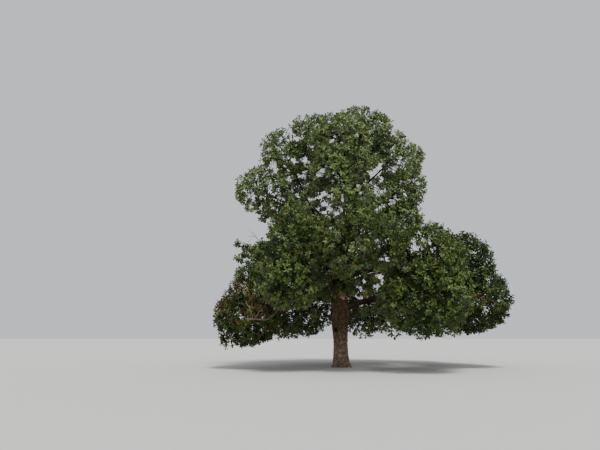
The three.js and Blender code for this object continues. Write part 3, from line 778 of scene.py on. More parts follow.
def scattered(rng, count, around, turn):
    """For each of around middles, count directions spread evenly over a ball, each set turned its own
    way about +Z."""
    base = spread_directions(count, turn)
    angle = rng.uniform(0, 2 * math.pi, around)
    cosine, sine = np.cos(angle)[:, None], np.sin(angle)[:, None]
    x = base[:, 0] * cosine - base[:, 1] * sine
    y = base[:, 0] * sine + base[:, 1] * cosine
    z = np.broadcast_to(base[:, 2], x.shape)
    return unit(np.stack([x, y, z], axis=-1) + rng.normal(0, SPRAY_SCATTER, (around, count, 3)))


def shell_clumps(mass, home, rng, settings):
    """The middles of a mass's clumps: most just inside the face of its space, some deeper in, spread
    evenly over all directions, and fewer on the faces that no one sees."""
    count = round(settings.clump_density * mass.bulk**2 * mass.dense)
    directions = spread_directions(count, mass.seed * GOLDEN_ANGLE)
    directions = unit(directions + rng.normal(0, CLUMP_SCATTER, (count, 3)))
    inner = rng.random(count) < INNER_SHARE
    share = np.where(inner, rng.uniform(*INNER_OUT, count), rng.uniform(*SHELL_OUT, count))
    hidden = (room(mass, directions) < HIDDEN_ROOM * mass.bulk) | (directions @ home > HOMEWARD)
    kept = ~hidden | (rng.random(count) < HIDDEN_KEPT)
    return space_point(mass, directions[kept], share[kept])


def crease_clumps(mass, other, rng):
    """The middles of clumps in the crease between two masses. They lie in the plane that parts them, on
    arcs round its middle, to both sides of the way that leads from the trunk, out to where the two
    rounded faces meet."""
    way = squashed(other.centre - mass.centre)
    apart = np.linalg.norm(way)
    way = way / apart
    limit = (apart**2 + mass.bulk**2 - other.bulk**2) / (2 * apart)
    middle = mass.centre + way * limit * np.array([1, 1, FLATTEN])
    reach = math.sqrt(max(mass.bulk**2 - limit**2, (CREASE_LEAST * mass.bulk) ** 2))
    outward = squashed(middle - trunk_axis(middle[2]))
    outward = unit(outward - (outward @ way) * way)
    beside = np.cross(way, outward)
    angle = np.linspace(-CREASE_TURN, CREASE_TURN, CREASE_CLUMPS)
    angle = angle + rng.normal(0, CREASE_SCATTER, CREASE_CLUMPS)
    arc = np.cos(angle)[:, None] * outward + np.sin(angle)[:, None] * beside
    out = arc * (reach * rng.uniform(*CREASE_OUT, CREASE_CLUMPS))[:, None]
    return middle + out * np.array([1, 1, FLATTEN])


def bough_clumps(path, step, reach, rng):
    """Where twigs stand along a bough, and the middles of the clumps they carry: each twig leaves
    square to the bough, the golden angle round from the last."""
    length = np.linalg.norm(np.diff(path, axis=0), axis=1).sum()
    count = max(2, round(length * (1 - BOUGH_TWIG_FROM) / step))
    share = np.linspace(BOUGH_TWIG_FROM, 1, count)
    start = path_point(path, share)
    ahead = path_point(path, np.minimum(share + NEARBY_SHARE, 1))
    along = unit(ahead - path_point(path, share - NEARBY_SHARE))
    side = unit(np.cross(along, np.array([0, 0, 1.0])))
    above = np.cross(side, along)
    angle = np.arange(count) * GOLDEN_ANGLE + rng.uniform(0, LARGEST_PHASE)
    way = np.cos(angle)[:, None] * side + np.sin(angle)[:, None] * above + TWIG_LEAN * along
    return start, start + unit(way) * rng.uniform(*reach, count)[:, None]


def arching(starts, ends, rng, heading):
    """Curves from starts to ends that bow towards heading, upwards and a little to one side."""
    span = np.linalg.norm(ends - starts, axis=-1, keepdims=True)
    bow = np.broadcast_to(heading, ends.shape) * BOW_OUT + np.array([0, 0, BOW_UP])
    middle = (starts + ends) / 2 + (bow + rng.normal(0, BOW_CHANCE, ends.shape)) * span
    return np.stack([starts, middle, ends], axis=1)


def grow_branches(mass, stem, inward, rng, settings):
    """A mass's branches: spread evenly over all directions, each leaves the stem about as far along as
    its own direction points that way."""
    count = max(LEAST_BRANCHES, round(settings.branch_density * mass.bulk**2))
    directions = spread_directions(count, mass.seed * GOLDEN_ANGLE)
    ends = space_point(mass, directions, rng.uniform(*BRANCH_OUT, count))
    along = STEM_MIDDLE + STEM_SPREAD * directions @ inward
    along = along + rng.uniform(-STEM_CHANCE, STEM_CHANCE, count)
    return arching(bezier(stem, np.clip(along, *STEM_RANGE)), ends, rng, inward)


def gather_clumps(mass, limb, branches, samples, rng, settings):
    """A mass's clumps and where their twigs start: those of its shell and its creases, on the branches
    that end nearest, those along its bough or the trunk's upper part, and those with a place of their
    own. All but the shell's are free to leave the mass's space."""
    home = unit((trunk_axis(mass.centre[2]) - mass.centre) * np.array([1, 1, 0]))
    shell = shell_clumps(mass, home, rng, settings) if not mass.sparse else np.zeros((0, 3))
    grown = np.concatenate([shell] + [crease_clumps(mass, other, rng) for other in mass.creases])
    owner = np.linalg.norm(grown[:, None] - branches[None, :, 2], axis=-1).argmin(axis=1)
    grown_starts = bezier(branches[owner], rng.uniform(*TWIG_FROM, len(grown)))

    if limb:
        carrier, step, reach = limb.path, BOUGH_TWIG_STEP, BOUGH_TWIG_REACH
    else:
        carrier = trunk_axis(np.linspace(TRUNK_TWIG_FROM, TRUNK_TOP, PATH_SAMPLES))
        step, reach = TRUNK_TWIG_STEP, TRUNK_TWIG_REACH
    bough_starts, bough_ends = bough_clumps(carrier, step, reach, rng)
    if mass.sparse:
        bough_starts, bough_ends = bough_starts[:0], bough_ends[:0]

    own = np.array(OWN_CLUMPS.get(mass.name, [])).reshape(-1, 4)
    nearest = np.linalg.norm(own[:, None, :3] - carrier[None], axis=-1).argmin(axis=1)
    middles = np.concatenate([grown, bough_ends, own[:, :3]])
    starts = np.concatenate([grown_starts, bough_starts, carrier[nearest]])
    common = len(middles) - len(own)
    sizes = np.concatenate([np.full(common, settings.clump_radius), own[:, 3]])
    free = np.arange(len(middles)) >= len(shell)
    named = np.arange(len(middles)) >= common
    fits = clear_of(middles, samples, CLUMP_CLEAR)
    return SimpleNamespace(
        middles=middles[fits], starts=starts[fits], sizes=sizes[fits], free=free[fits],
        named=named[fits], ways=unit(middles[fits] - mass.centre),
    )


def gather_sprays(mass, clumps, samples, rng, settings):
    """The sprays round each clump's middle, with the way each points and how high it stands on the
    clump's lit side. A spray is dropped where it would leave the mass's space, touch a limb, hang too
    low or close a gap to the sky. A free clump's sprays may leave the space, and a named clump's may
    stand before the sky."""
    ways = scattered(rng, settings.sprays_per_clump, len(clumps.middles), mass.seed + 3)
    lengths = clumps.sizes[:, None] * rng.uniform(*SPRAY_OUT, ways.shape[:2])
    deep = (ways * clumps.ways[:, None]).sum(axis=-1, keepdims=True) * clumps.ways[:, None]
    offsets = (ways - (1 - CLUMP_DEPTH) * deep) * lengths[..., None]
    # The clump's lit side: how high a spray stands on it sets how much painted light its tint gets.
    lit = unit(LIT_OUTWARD * clumps.ways + np.array([0, 0, LIT_UPWARD]))
    painted_light_rise = ((offsets * lit[:, None]).sum(axis=-1) / clumps.sizes[:, None]).ravel()
    places = (clumps.middles[:, None] + offsets).reshape(-1, 3)
    headings = unit(ways + SPRAY_OUTWARD * clumps.ways[:, None]).reshape(-1, 3)
    owner = np.repeat(np.arange(len(clumps.middles)), settings.sprays_per_clump)
    seen = seen_at(places)
    fits = in_space(mass, places, SPRAY_INSET) | clumps.free[owner]
    fits &= clear_of(places, samples, TWIG_CLEAR) & (places[:, 2] > LOWEST_SPRAY)
    fits &= clumps.named[owner] | ~sky_shows(seen)
    return SimpleNamespace(
        places=places[fits], headings=headings[fits], owner=owner[fits], seen=seen[fits],
        painted_light_rise=painted_light_rise[fits],
    )


def grow_mass(mass, limbs, samples, settings):
    """One mass: a stem on from its bough's tip, branches from the stem, twigs from each branch and
    from the bough to clumps, and shoots from each twig to sprays."""
    rng = np.random.default_rng(FIRST_MASS_SEED + mass.seed)
    limb = limbs.get(mass.name)
    foot = limb.path[-1] if limb else trunk_axis(TRUNK_TOP)
    foot_radius = limb.tip_radius if limb else trunk_girth(TRUNK_TOP)
    inward = unit(mass.centre - foot)
    stem = np.stack([foot, mass.centre, mass.centre + inward * mass.bulk * STEM_REACH])
    branches = grow_branches(mass, stem, inward, rng, settings)
    clumps = gather_clumps(mass, limb, branches, samples, rng, settings)
    twigs = arching(clumps.starts, clumps.middles, rng, clumps.ways)
    sprays = gather_sprays(mass, clumps, samples, rng, settings)
    roots = bezier(twigs[sprays.owner], rng.uniform(*SHOOT_FROM, len(sprays.places)))
    shoots = arching(roots, sprays.places, rng, sprays.headings)
    twigs = twigs[np.unique(sprays.owner)]
    if mass.sparse:
        twigs = np.concatenate([twigs, BARE_TWIGS])
    return SimpleNamespace(
        mass=mass, stem=stem[None], stem_radius=foot_radius, branches=branches, twigs=twigs,
        shoots=shoots, sprays=sprays, rng=rng,
    )


def twig_parts(growth):
    """The wood of one mass: its stem, branches, twigs and shoots as tapering tubes, each kind with its
    radii at both ends, its steps and its sides."""
    size = min(1.0, growth.mass.bulk / FULL_BULK)
    kinds = [
        (growth.stem, growth.stem_radius * STEM_START, STEM_END * size, 8, 8),
        (growth.branches, BRANCH_RADII[0] * size, BRANCH_RADII[1] * size, 5, 5),
        (growth.twigs, *TWIG_RADII, 3, 4),
        (growth.shoots, *SHOOT_RADII, 1, 3),
    ]
    return [
        tubes(curves, np.full(len(curves), thick), np.full(len(curves), thin), steps, sides)
        for curves, thick, thin, steps, sides in kinds
    ]


# One side of a leaf at unit length: foot, lobe, notch, lobe, shoulder of the end lobe, tip.
HALF_OUTLINE = np.array([
    (0.0, 0.0), (0.31, 0.22), (0.44, 0.12), (0.70, 0.33), (0.94, 0.16), (1.0, 0.0),
])
HALF_FACES = np.array([(0, 2, 1), (2, 4, 3), (0, 5, 2), (2, 5, 4)])
LEAF_FOLD = 0.34
LEAF_DROOP = 0.22


def leaf_template():
    """A lobed leaf at unit length: the half outline and its mirror image, that share foot and tip,
    lifted along both edges by the fold and bent down towards the tip by the droop."""
    near = HALF_OUTLINE
    far = near[1:-1] * np.array([1, -1])
    flat = np.concatenate([near, far])
    lift = LEAF_FOLD * np.abs(flat[:, 1]) - LEAF_DROOP * flat[:, 0] ** 2
    points = np.column_stack([flat, lift])
    mirrored = np.concatenate([[0], len(near) + np.arange(len(far)), [len(near) - 1]])
    faces = np.concatenate([HALF_FACES, mirrored[HALF_FACES][:, ::-1]])
    corner = flat[faces]
    first, second = corner[:, 1] - corner[:, 0], corner[:, 2] - corner[:, 0]
    turned = first[:, 0] * second[:, 1] - first[:, 1] * second[:, 0] < 0
    faces[turned] = faces[turned][:, ::-1]
    return points, faces, flat


# What makes a spray lighter: how far out it is and how high it hangs, both painted light, slow patches,
# its clump's lit side, painted light too, and chance. What makes it darker: a turning mass, and painted
# shade on the far right. Then the scores that divide the greens.
OUTER_PAINTED_LIGHT = 0.75
LIGHT_START = 0.33
HEIGHT_PAINTED_LIGHT = 0.025
PATCH_LIGHT = 0.28
PATCH_GRAIN = 1.1
LIT_SIDE_PAINTED_LIGHT = 0.3
CHANCE_LIGHT = 0.14
TURNING_DARK = 0.3
RIGHT_PAINTED_SHADE = 0.4
RIGHT_SHADE_RANGE = (5.5, 8.0)
DEEP_BELOW = 0.22
MID_BELOW = 0.6

# The shares of sprays that turn, in patches: in most masses, and in the turning one, where it rises
# with height over a range, and which of those are brown and rust. Then the share of a named spot's
# sprays that take its tint.
TURNED_SHARE = 0.03
TURNED_GRAIN = 0.9
TURNING_SHARE = 0.14
TURNING_RISE = 0.44
TURNING_HEIGHTS = (1.9, 3.1)
BROWN_SHARE = 0.6
RUST_SHARE = 0.02
SPOT_SHARE = 0.75


def deal_tints(growth):
    """Each spray's tint: a score of painted light, painted shade and chance picks a green, some sprays
    turn, most of all low on the left, and named spots have their own tint."""
    rng, mass, sprays = growth.rng, growth.mass, growth.sprays
    places = sprays.places
    out = np.linalg.norm(squashed(places - mass.centre), axis=-1) / mass.bulk
    patches = lattice_noise(places / PATCH_GRAIN, seed=5)
    # Painted light and shade: lighter far out, higher up and on the clump's lit side. The slow patches
    # and chance are the leaves' own tone.
    score = OUTER_PAINTED_LIGHT * out - LIGHT_START + HEIGHT_PAINTED_LIGHT * places[:, 2] + PATCH_LIGHT * patches
    score = score + LIT_SIDE_PAINTED_LIGHT * sprays.painted_light_rise + rng.normal(0, CHANCE_LIGHT, len(places))
    # Painted shade over the far right of the crown.
    score = score - TURNING_DARK * mass.turning - RIGHT_PAINTED_SHADE * smoothstep(places[:, 0], *RIGHT_SHADE_RANGE)
    greens = [TINTS.index(name) for name in ("deep", "mid", "light")]
    tint = np.select([score < DEEP_BELOW, score < MID_BELOW], greens[:2], greens[2])

    draw = rng.random(len(places))
    patches = lattice_noise(places / TURNED_GRAIN, seed=9)
    turned = TURNED_SHARE * (1 + patches)
    if mass.turning:
        rise = TURNING_RISE * smoothstep(places[:, 2], *TURNING_HEIGHTS)
        turned = (TURNING_SHARE + rise) * (1 + patches)
    tint = np.where(draw < turned, TINTS.index("olive"), tint)
    tint = np.where(draw < turned * BROWN_SHARE * mass.turning, TINTS.index("brown"), tint)
    tint = np.where(draw < turned * RUST_SHARE * mass.turning, TINTS.index("rust"), tint)
    # The yellow green spots paint light; the others are turning tints.
    for spot in TINT_SPOTS:
        inside = within(sprays.seen, spot) & (rng.random(len(places)) < SPOT_SHARE)
        tint = np.where(inside, TINTS.index(spot["tint"]), tint)
    return tint


# How leaves stand on a shoot: how much the shoot's own end pulls their axis, how far back each next
# one is rooted, how far the first one tilts from the axis in degrees, how much more each next one and
# how unevenly, how much they hang, where their upper faces turn, and their lengths as shares of the
# common one.
SHOOT_PULL = 0.5
LEAF_ROOT_STEP = 0.014
LEAF_TILT = 36
LEAF_TILT_STEP = 10
LEAF_TILT_SCATTER = 12
LEAF_HANG = 0.1
FACE_ALONG = 0.8
FACE_UP = 0.5
FACE_SCATTER = 0.28
LEAF_SIZES = (0.78, 1.16)


def leaf_arrays(growth, settings):
    """The leaves of one mass. Round each shoot's end the leaves stand the golden angle apart, the
    lower ones more spread, and face along the shoot and upwards. Each is the template along its own
    heading, across and normal, times its length."""
    rng, sprays = growth.rng, growth.sprays
    count = settings.leaves_per_spray
    axis = SHOOT_PULL * unit(growth.shoots[:, 2] - growth.shoots[:, 1]) + sprays.headings
    axis = unit(axis)[:, None]
    number = np.arange(count)
    around = number * GOLDEN_ANGLE + rng.uniform(0, 2 * math.pi, (len(axis), 1))
    side = square_reference(growth.shoots)[:, None]
    beside = np.cross(axis, side)
    radial = np.cos(around)[..., None] * side + np.sin(around)[..., None] * beside
    tilt = LEAF_TILT + LEAF_TILT_STEP * number + rng.normal(0, LEAF_TILT_SCATTER, around.shape)
    tilt = np.radians(tilt)[..., None]
    heading = unit(np.cos(tilt) * axis + np.sin(tilt) * radial - np.array([0, 0, LEAF_HANG]))
    facing = FACE_ALONG * axis + np.array([0, 0, FACE_UP]) + rng.normal(0, FACE_SCATTER, heading.shape)
    normal = unit(facing - (facing * heading).sum(axis=-1, keepdims=True) * heading)
    across = np.cross(normal, heading)
    roots = sprays.places[:, None] - axis * (number * LEAF_ROOT_STEP)[None, :, None]
    length = settings.leaf_length * rng.uniform(*LEAF_SIZES, around.shape)[..., None, None]

    points, faces, flat = leaf_template()
    local = points[:, 0:1] * heading[..., None, :] + points[:, 1:2] * across[..., None, :]
    local = local + points[:, 2:3] * normal[..., None, :]
    places = (roots[..., None, :] + length * local).reshape(-1, 3)
    leaves = len(sprays.places) * count
    all_faces = (faces[None] + np.arange(leaves)[:, None, None] * len(points)).reshape(-1, 3)
    tint = np.repeat(deal_tints(growth), count * len(faces))
    leaf_map = np.tile(flat[faces].reshape(-1, 2), (leaves, 1))
    return places, all_faces, tint, leaf_map


# The torn wound at the fork, the burr on the left and a swelling on the right: a height, a bearing
# round the trunk, and sizes. Then the burr's hollow beside the burr, the wound's rim, and where its
# torn wood starts and how ragged it is. Last the mesh's sides and rings, which crowd to the ground.
WOUND = dict(height=3.74, bearing=-43, half_width=0.46, half_height=0.145, depth=0.05, rim=0.03)
BURR = dict(height=2.0, bearing=232, half_width=0.22, half_height=0.25, swell=0.06, hollow=0.08)
SWELLING = dict(height=2.65, bearing=-15, half_width=0.35, half_height=0.4, swell=0.07)
HOLLOW_SHARE = 0.4
RIM_OUT = 1.15
RIM_WIDTH = 0.28
TORN_FROM = (-1.1, -0.7)
TORN_EDGE = 0.35
TRUNK_BARK_SIDES = 200
TRUNK_BARK_RINGS = 380
RING_CROWDING = 1.25

# Grooves in the bark: their widths in the noise, the depth of the fine ones beside the main ones, how
# much finer those are, and how far and how slowly the plates wander.
GROOVE_WIDTH = 0.16
FINE_WIDTH = 0.14
FINE_DEPTH = 0.4
FINE_SCALE = 1.9
WANDER = 0.55
WANDER_SCALE = 0.45
WANDER_SHIFT = 7.3

# The trunk's relief: the share of the fissures' depth that stays far up, how soon the rest fades, and
# the most of the radius they may take. Then the slow lumps, the fine grain and the patches' lumps.
FISSURE_STAYS = 0.35
FISSURE_FADE = 3.5
FISSURE_MOST = 0.09
FISSURE_STRETCH = 2.6
LUMP_HEIGHT = 0.03
LUMP_GRAIN = np.array([0.35, 0.35, 0.7])
LUMP_RADIUS = 0.45
FINE_GRAIN_HEIGHT = 0.006
FINE_GRAIN = 0.05
PATCH_LUMPS = 0.5
PATCH_LUMP_GRAIN = 0.11
TORN_GRAIN = 0.09


def bell(value):
    """1 at zero, falling off to both sides: e to the power of minus the square."""
    return np.exp(-(value**2))


def fissures(points, spacing, stretch, seed):
    """Bark of long plates: 0 on the plates, down to -1 in the main grooves and less deep in the fine
    ones. Both run where noise, stretched along the stem and bent by slower noise, passes through
    zero."""
    scale = np.array([1, 1, 1 / stretch]) / spacing
    bend = WANDER * lattice_noise(points * scale * WANDER_SCALE + WANDER_SHIFT, seed + 1)[..., None]
    network = lattice_noise(points * scale + bend, seed)
    second = lattice_noise(points * scale * FINE_SCALE - bend, seed + 2)
    return -bell(network / GROOVE_WIDTH) - FINE_DEPTH * bell(second / FINE_WIDTH)


def plate_height(relief):
    """How high each point stands on its plate, from 0 in the deepest groove to 1."""
    return 1 + relief.ravel() / (1 + FINE_DEPTH)


def patch_distance(height, angle, patch):
    """How far a place on the trunk is from a patch's middle, in half widths and half heights."""
    turn = angle - math.radians(patch["bearing"])
    turn = (turn + math.pi) % (2 * math.pi) - math.pi
    across = turn * trunk_girth(patch["height"]) / patch["half_width"]
    return np.hypot(across, (height - patch["height"]) / patch["half_height"])


def trunk_surface(settings):
    """The bark of the trunk over height and angle: the solid's radius, plus long plates of bark that
    fade upwards, slow lumps, a burr with a hollow, a swelling, and the wound with its rolled rim.
    Returns how high each point stands on its plate too."""
    share = np.linspace(0, 1, TRUNK_BARK_RINGS) ** RING_CROWDING
    height = np.repeat((TRUNK_TOP * share)[:, None], TRUNK_BARK_SIDES, axis=1)
    angle = (np.arange(TRUNK_BARK_SIDES) * 2 * math.pi / TRUNK_BARK_SIDES)[None]
    angle = np.repeat(angle, TRUNK_BARK_RINGS, axis=0)
    radius = trunk_radius(height, angle)
    around = np.stack([np.cos(angle), np.sin(angle)], axis=-1)
    place = np.concatenate([around * radius[..., None], height[..., None]], axis=-1)

    fade = FISSURE_STAYS + (1 - FISSURE_STAYS) * np.exp(-height / FISSURE_FADE)
    depth = np.minimum(settings.fissure_depth * fade, radius * FISSURE_MOST)
    relief = fissures(place, settings.ridge_spacing, FISSURE_STRETCH, seed=3)
    radius = radius + depth * relief
    radius = radius + LUMP_HEIGHT * lattice_noise(place / LUMP_GRAIN, seed=8) * radius / LUMP_RADIUS
    radius = radius + FINE_GRAIN_HEIGHT * lattice_noise(place / FINE_GRAIN, seed=6)

    lumpy = 1 + PATCH_LUMPS * lattice_noise(place / PATCH_LUMP_GRAIN, seed=4)
    burr = patch_distance(height, angle, BURR)
    radius = radius + BURR["swell"] * bell(burr) * lumpy - BURR["hollow"] * bell(burr / HOLLOW_SHARE)
    radius = radius + SWELLING["swell"] * bell(patch_distance(height, angle, SWELLING)) * lumpy
    ragged = TORN_EDGE * lattice_noise(place / TORN_GRAIN, seed=12)
    torn = patch_distance(height, angle, WOUND) + ragged
    rim = bell((torn - RIM_OUT) / RIM_WIDTH)
    radius = radius + WOUND["rim"] * rim - WOUND["depth"] * smoothstep(-torn, *TORN_FROM)

    level = around * radius[..., None] + trunk_axis(height)[..., :2]
    points = np.concatenate([level, height[..., None]], axis=-1).reshape(-1, 3)
    return points, sweep_faces(1, TRUNK_BARK_RINGS, TRUNK_BARK_SIDES), plate_height(relief)


# A bough's bark: how far apart its rings are and how many sides they have, the swellings and knots as
# shares of the radius, the noise over which a knot stands out, its grooves, the power by which all
# this dies away at the tip, and the step in noise from one bough to the next.
LIMB_RING_STEP = 0.09
LEAST_RINGS = 24
LIMB_BARK_SIDES = 20
SIDE_LIMB_BARK_SIDES = 14
SWELLINGS = 0.10
SWELLING_GRAIN = np.array([0.3, 0.3, 0.45])
KNOTS = 0.24
KNOT_OVER = 0.45
KNOT_GRAIN = 0.16
GROOVES = 0.07
GROOVE_SPACING = 0.075
GROOVE_STRETCH = 3.5
TIP_POWER = 6
LIMB_SHIFT = 3.1


def limb_surface(limb):
    """The bark of a bough: its round taper carried along its path, times slow swellings and knots,
    less shallow grooves that run along it, all dying away towards the tip. Returns how high each point
    stands on its plate too."""
    rings = max(LEAST_RINGS, round(limb.length / LIMB_RING_STEP))
    sides = SIDE_LIMB_BARK_SIDES if limb.parent else LIMB_BARK_SIDES
    share = np.linspace(0, 1, rings)
    angle = np.arange(sides) * 2 * math.pi / sides
    taper = limb_radius(limb, share)[:, None]
    along = np.repeat((share * limb.length)[:, None], sides, axis=1)
    around = np.stack([np.cos(angle) + 0 * along, np.sin(angle) + 0 * along], axis=-1)
    place = np.concatenate([around * taper[..., None], along[..., None]], axis=-1)
    place = place + limb.seed * LIMB_SHIFT
    swelling = SWELLINGS * lattice_noise(place / SWELLING_GRAIN, seed=21)
    knots = KNOTS * np.maximum(0, lattice_noise(place / KNOT_GRAIN, seed=22) - KNOT_OVER)
    relief = fissures(place, GROOVE_SPACING, GROOVE_STRETCH, seed=23)
    fade = 1 - share[:, None] ** TIP_POWER
    radius = taper * (1 + (swelling + knots + GROOVES * relief) * fade)
    level = (limb.path[-1] - limb.path[0]) * np.array([1, 1, 0])
    reference = unit(np.array([-level[1], level[0], 0]))
    points = sweep(path_point(limb.path, share), reference, radius).reshape(-1, 3)
    return points, sweep_faces(1, rings, sides), plate_height(relief)


# The dead wood: how far the limb's end hangs below the straight rule, how thick an arm is beside what
# carries it, how crooked it is, and its stubs, from where on they stand, how far they reach and how
# thick they start and end.
DEAD_SAG = 0.2
DEAD_SEED = 41
DEAD_SIDES = 8
DEAD_STEPS = 12
ARM_SHARE = 0.75
ARM_TAPER = 0.5
ARM_CROOK = 0.05
DEAD_STUBS = 5
STUB_FROM = 0.3
STUB_REACH = (0.1, 0.28)
STUB_TURN = 0.7
STUB_CROOK = 0.02
STUB_START = 0.35
STUB_END = 0.12


def sagging(path, sag):
    """The same line, lowered by the square of the share along it, times sag."""
    share = np.linspace(0, 1, len(path))[:, None]
    return path - share**2 * np.array([0, 0, sag])


def dead_arms(foot, foot_radius):
    """The bare arms as curves with their radii, a little crooked, each with a few short stubs."""
    rng = np.random.default_rng(DEAD_SEED)
    arms, curves, thick, thin = {}, [], [], []
    for row in DEAD_ARMS:
        parent = arms.get(row.get("on"))
        start = bezier(parent["curve"], row["at"]) if parent else foot
        radius = foot_radius
        if parent:
            radius = parent["radius"] * (1 - ARM_TAPER * row["at"]) * ARM_SHARE
        rise = math.radians(row["rise"])
        way = polar(row["bearing"]) * math.cos(rise) + np.array([0, 0, math.sin(rise)])
        end = start + way * row["reach"]
        bow = rng.normal(0, ARM_CROOK, 3) * row["reach"]
        curve = np.stack([start, (start + end) / 2 + bow, end])
        arms[row["name"]] = dict(curve=curve, radius=radius)
        curves.append(curve)
        thick.append(radius)
        thin.append(radius * DEAD_TIP_SHARE)
        for _ in range(DEAD_STUBS):
            root = bezier(curve, rng.uniform(STUB_FROM, 1.0))
            turned = unit(way + rng.normal(0, STUB_TURN, 3))
            tip = root + turned * rng.uniform(*STUB_REACH)
            curves.append(np.stack([root, (root + tip) / 2 + rng.normal(0, STUB_CROOK, 3), tip]))
            thick.append(radius * STUB_START)
            thin.append(radius * STUB_END)
    return np.array(curves), np.array(thick), np.array(thin)


def add_node(tree, kind, inputs=None, **values):
    """A node of that kind. inputs maps a socket's name or number to a value, or to the output that
    feeds it."""
    node = tree.nodes.new(kind)
    for key, value in values.items():
        setattr(node, key, value)
    for socket, value in (inputs or {}).items():
        if isinstance(value, bpy.types.NodeSocket):
            tree.links.new(value, node.inputs[socket])
        else:
            node.inputs[socket].default_value = value
    return node


def mixed(tree, factor, first, second, blend="MIX"):
    """The colour between two colours, or one blended over the other."""
    node = add_node(tree, "ShaderNodeMix", data_type="RGBA", blend_type=blend)
    for socket, value in ((node.inputs[0], factor), (node.inputs[6], first), (node.inputs[7], second)):
        if isinstance(value, bpy.types.NodeSocket):
            tree.links.new(value, socket)
        else:
            socket.default_value = value
    return node.outputs[2]


def ranged(tree, value, given, wanted=(0.0, 1.0)):
    """A value taken from the given range to the wanted one, and held there."""
    inputs = {
        "Value": value, "From Min": given[0], "From Max": given[1],
        "To Min": wanted[0], "To Max": wanted[1],
    }
    return add_node(tree, "ShaderNodeMapRange", inputs).outputs["Result"]


def math_node(tree, operation, *values):
    """An operation on numbers, each of them a value or the output that feeds it."""
    return add_node(tree, "ShaderNodeMath", dict(enumerate(values)), operation=operation).outputs[0]


def vector_math(tree, operation, *values):
    """An operation on vectors: its outputs, of which Value is a number and Vector isn't."""
    return add_node(tree, "ShaderNodeVectorMath", dict(enumerate(values)), operation=operation).outputs


def noise(tree, place, scale, detail):
    """Noise over a place: its outputs, of which Fac is a number and Color has three."""
    inputs = {"Vector": place, "Scale": scale, "Detail": detail}
    return add_node(tree, "ShaderNodeTexNoise", inputs).outputs


def new_group(name, inputs, outputs):
    """An empty shader node group with these named sockets, and its two end nodes."""
    tree = bpy.data.node_groups.new(name, "ShaderNodeTree")
    for label, kind, value in inputs:
        socket = tree.interface.new_socket(name=label, in_out="INPUT", socket_type=kind)
        socket.default_value = value
    for label, kind in outputs:
        tree.interface.new_socket(name=label, in_out="OUTPUT", socket_type=kind)
    return tree, tree.nodes.new("NodeGroupInput").outputs, tree.nodes.new("NodeGroupOutput").inputs


# The range that noise mostly keeps to, and the one that turns a share round.
NOISE_RANGE = (0.3, 0.7)
FULL_TO_NONE = (1.0, 0.0)

# The bark's look: how far its plates wander, the cracks between them and their tint, partly painted
# shade, the tones that blotches, grain and the carved grooves give, the last of them painted shade, its
# roughness, and how much grain adds to its height.
PLATE_WANDER = (0.05, 0.05, 0.02)
CRACK_WIDTHS = (0.02, 0.16)
CRACK_AND_SHADE_TINT = (0.22, 0.19, 0.17, 1)
BLOTCH_RANGE = (0.35, 0.68)
BLOTCH_TONES = (0.72, 1.2)
GRAIN_TONES = (0.7, 1.25)
CARVED_RANGE = (0.1, 0.95)
CARVED_SHARES = (0.25, 1.0)
BARK_ROUGHNESS = (0.82, 0.98)
GRAIN_RELIEF = 0.35

# The leaf's look: the tones that slow and quick noise give, its midrib and side veins on its own map,
# with the veins' slant, distance and share beside the midrib, their tint, and the leaf's roughness.
SLOW_RANGE = (0.35, 0.65)
SLOW_TONES = (0.85, 1.15)
QUICK_TONES = (0.72, 1.3)
MIDRIB_EDGE = (0.012, 0.03)
VEIN_SLANT = -0.7
VEIN_STEP = 0.07
VEIN_EDGE = (0.004, 0.014)
VEIN_SHARE = (0.6, 0.0)
VEIN_TINT = (2.4, 2.2, 2.0, 1)
LEAF_ROUGHNESS = (0.42, 0.58)


def bark_group():
    """Bark as colour, roughness and height: long plates with dark grooves between them, partly their own
    colour and partly painted shade, crossed by short cracks, with blotches and fine grain."""
    name = "Oak bark"
    if name in bpy.data.node_groups:
        return bpy.data.node_groups[name]
    tree, given, result = new_group(
        name,
        [("Plate colour", "NodeSocketColor", (0.1, 0.07, 0.05, 1)), ("Scale", "NodeSocketFloat", 12.0),
         ("Stretch", "NodeSocketFloat", 0.25)],
        [("Color", "NodeSocketColor"), ("Roughness", "NodeSocketFloat"), ("Height", "NodeSocketFloat")],
    )
    place = add_node(tree, "ShaderNodeTexCoord").outputs["Object"]
    stretch = add_node(tree, "ShaderNodeCombineXYZ", {"X": 1.0, "Y": 1.0, "Z": given["Stretch"]})
    long_way = vector_math(tree, "MULTIPLY", place, stretch.outputs[0])["Vector"]
    wander = noise(tree, place, scale=5.0, detail=2.0)["Color"]
    bent = vector_math(tree, "MULTIPLY_ADD", wander, PLATE_WANDER, long_way)["Vector"]
    plates = add_node(
        tree, "ShaderNodeTexVoronoi", {"Vector": bent, "Scale": given["Scale"]},
        feature="DISTANCE_TO_EDGE",
    )
    plate = ranged(tree, plates.outputs["Distance"], CRACK_WIDTHS)
    blotch = noise(tree, place, scale=3.5, detail=3.0)["Fac"]
    grain = noise(tree, bent, scale=70.0, detail=4.0)["Fac"]
    tone = math_node(
        tree, "MULTIPLY", ranged(tree, blotch, BLOTCH_RANGE, BLOTCH_TONES),
        ranged(tree, grain, NOISE_RANGE, GRAIN_TONES),
    )
    plain = mixed(tree, 1.0, given["Plate colour"], tone, "MULTIPLY")
    carved = add_node(tree, "ShaderNodeAttribute", attribute_name="relief").outputs["Fac"]
    # Painted shade in part: the colour darkens in the cracks and where the mesh's grooves are carved
    # deep.
    ridge = math_node(tree, "MULTIPLY", ranged(tree, carved, CARVED_RANGE, CARVED_SHARES), plate)
    groove = mixed(tree, 1.0, plain, CRACK_AND_SHADE_TINT, "MULTIPLY")
    tree.links.new(mixed(tree, ridge, groove, plain), result["Color"])
    tree.links.new(ranged(tree, grain, NOISE_RANGE, BARK_ROUGHNESS), result["Roughness"])
    tree.links.new(math_node(tree, "MULTIPLY_ADD", grain, GRAIN_RELIEF, plate), result["Height"])
    return tree


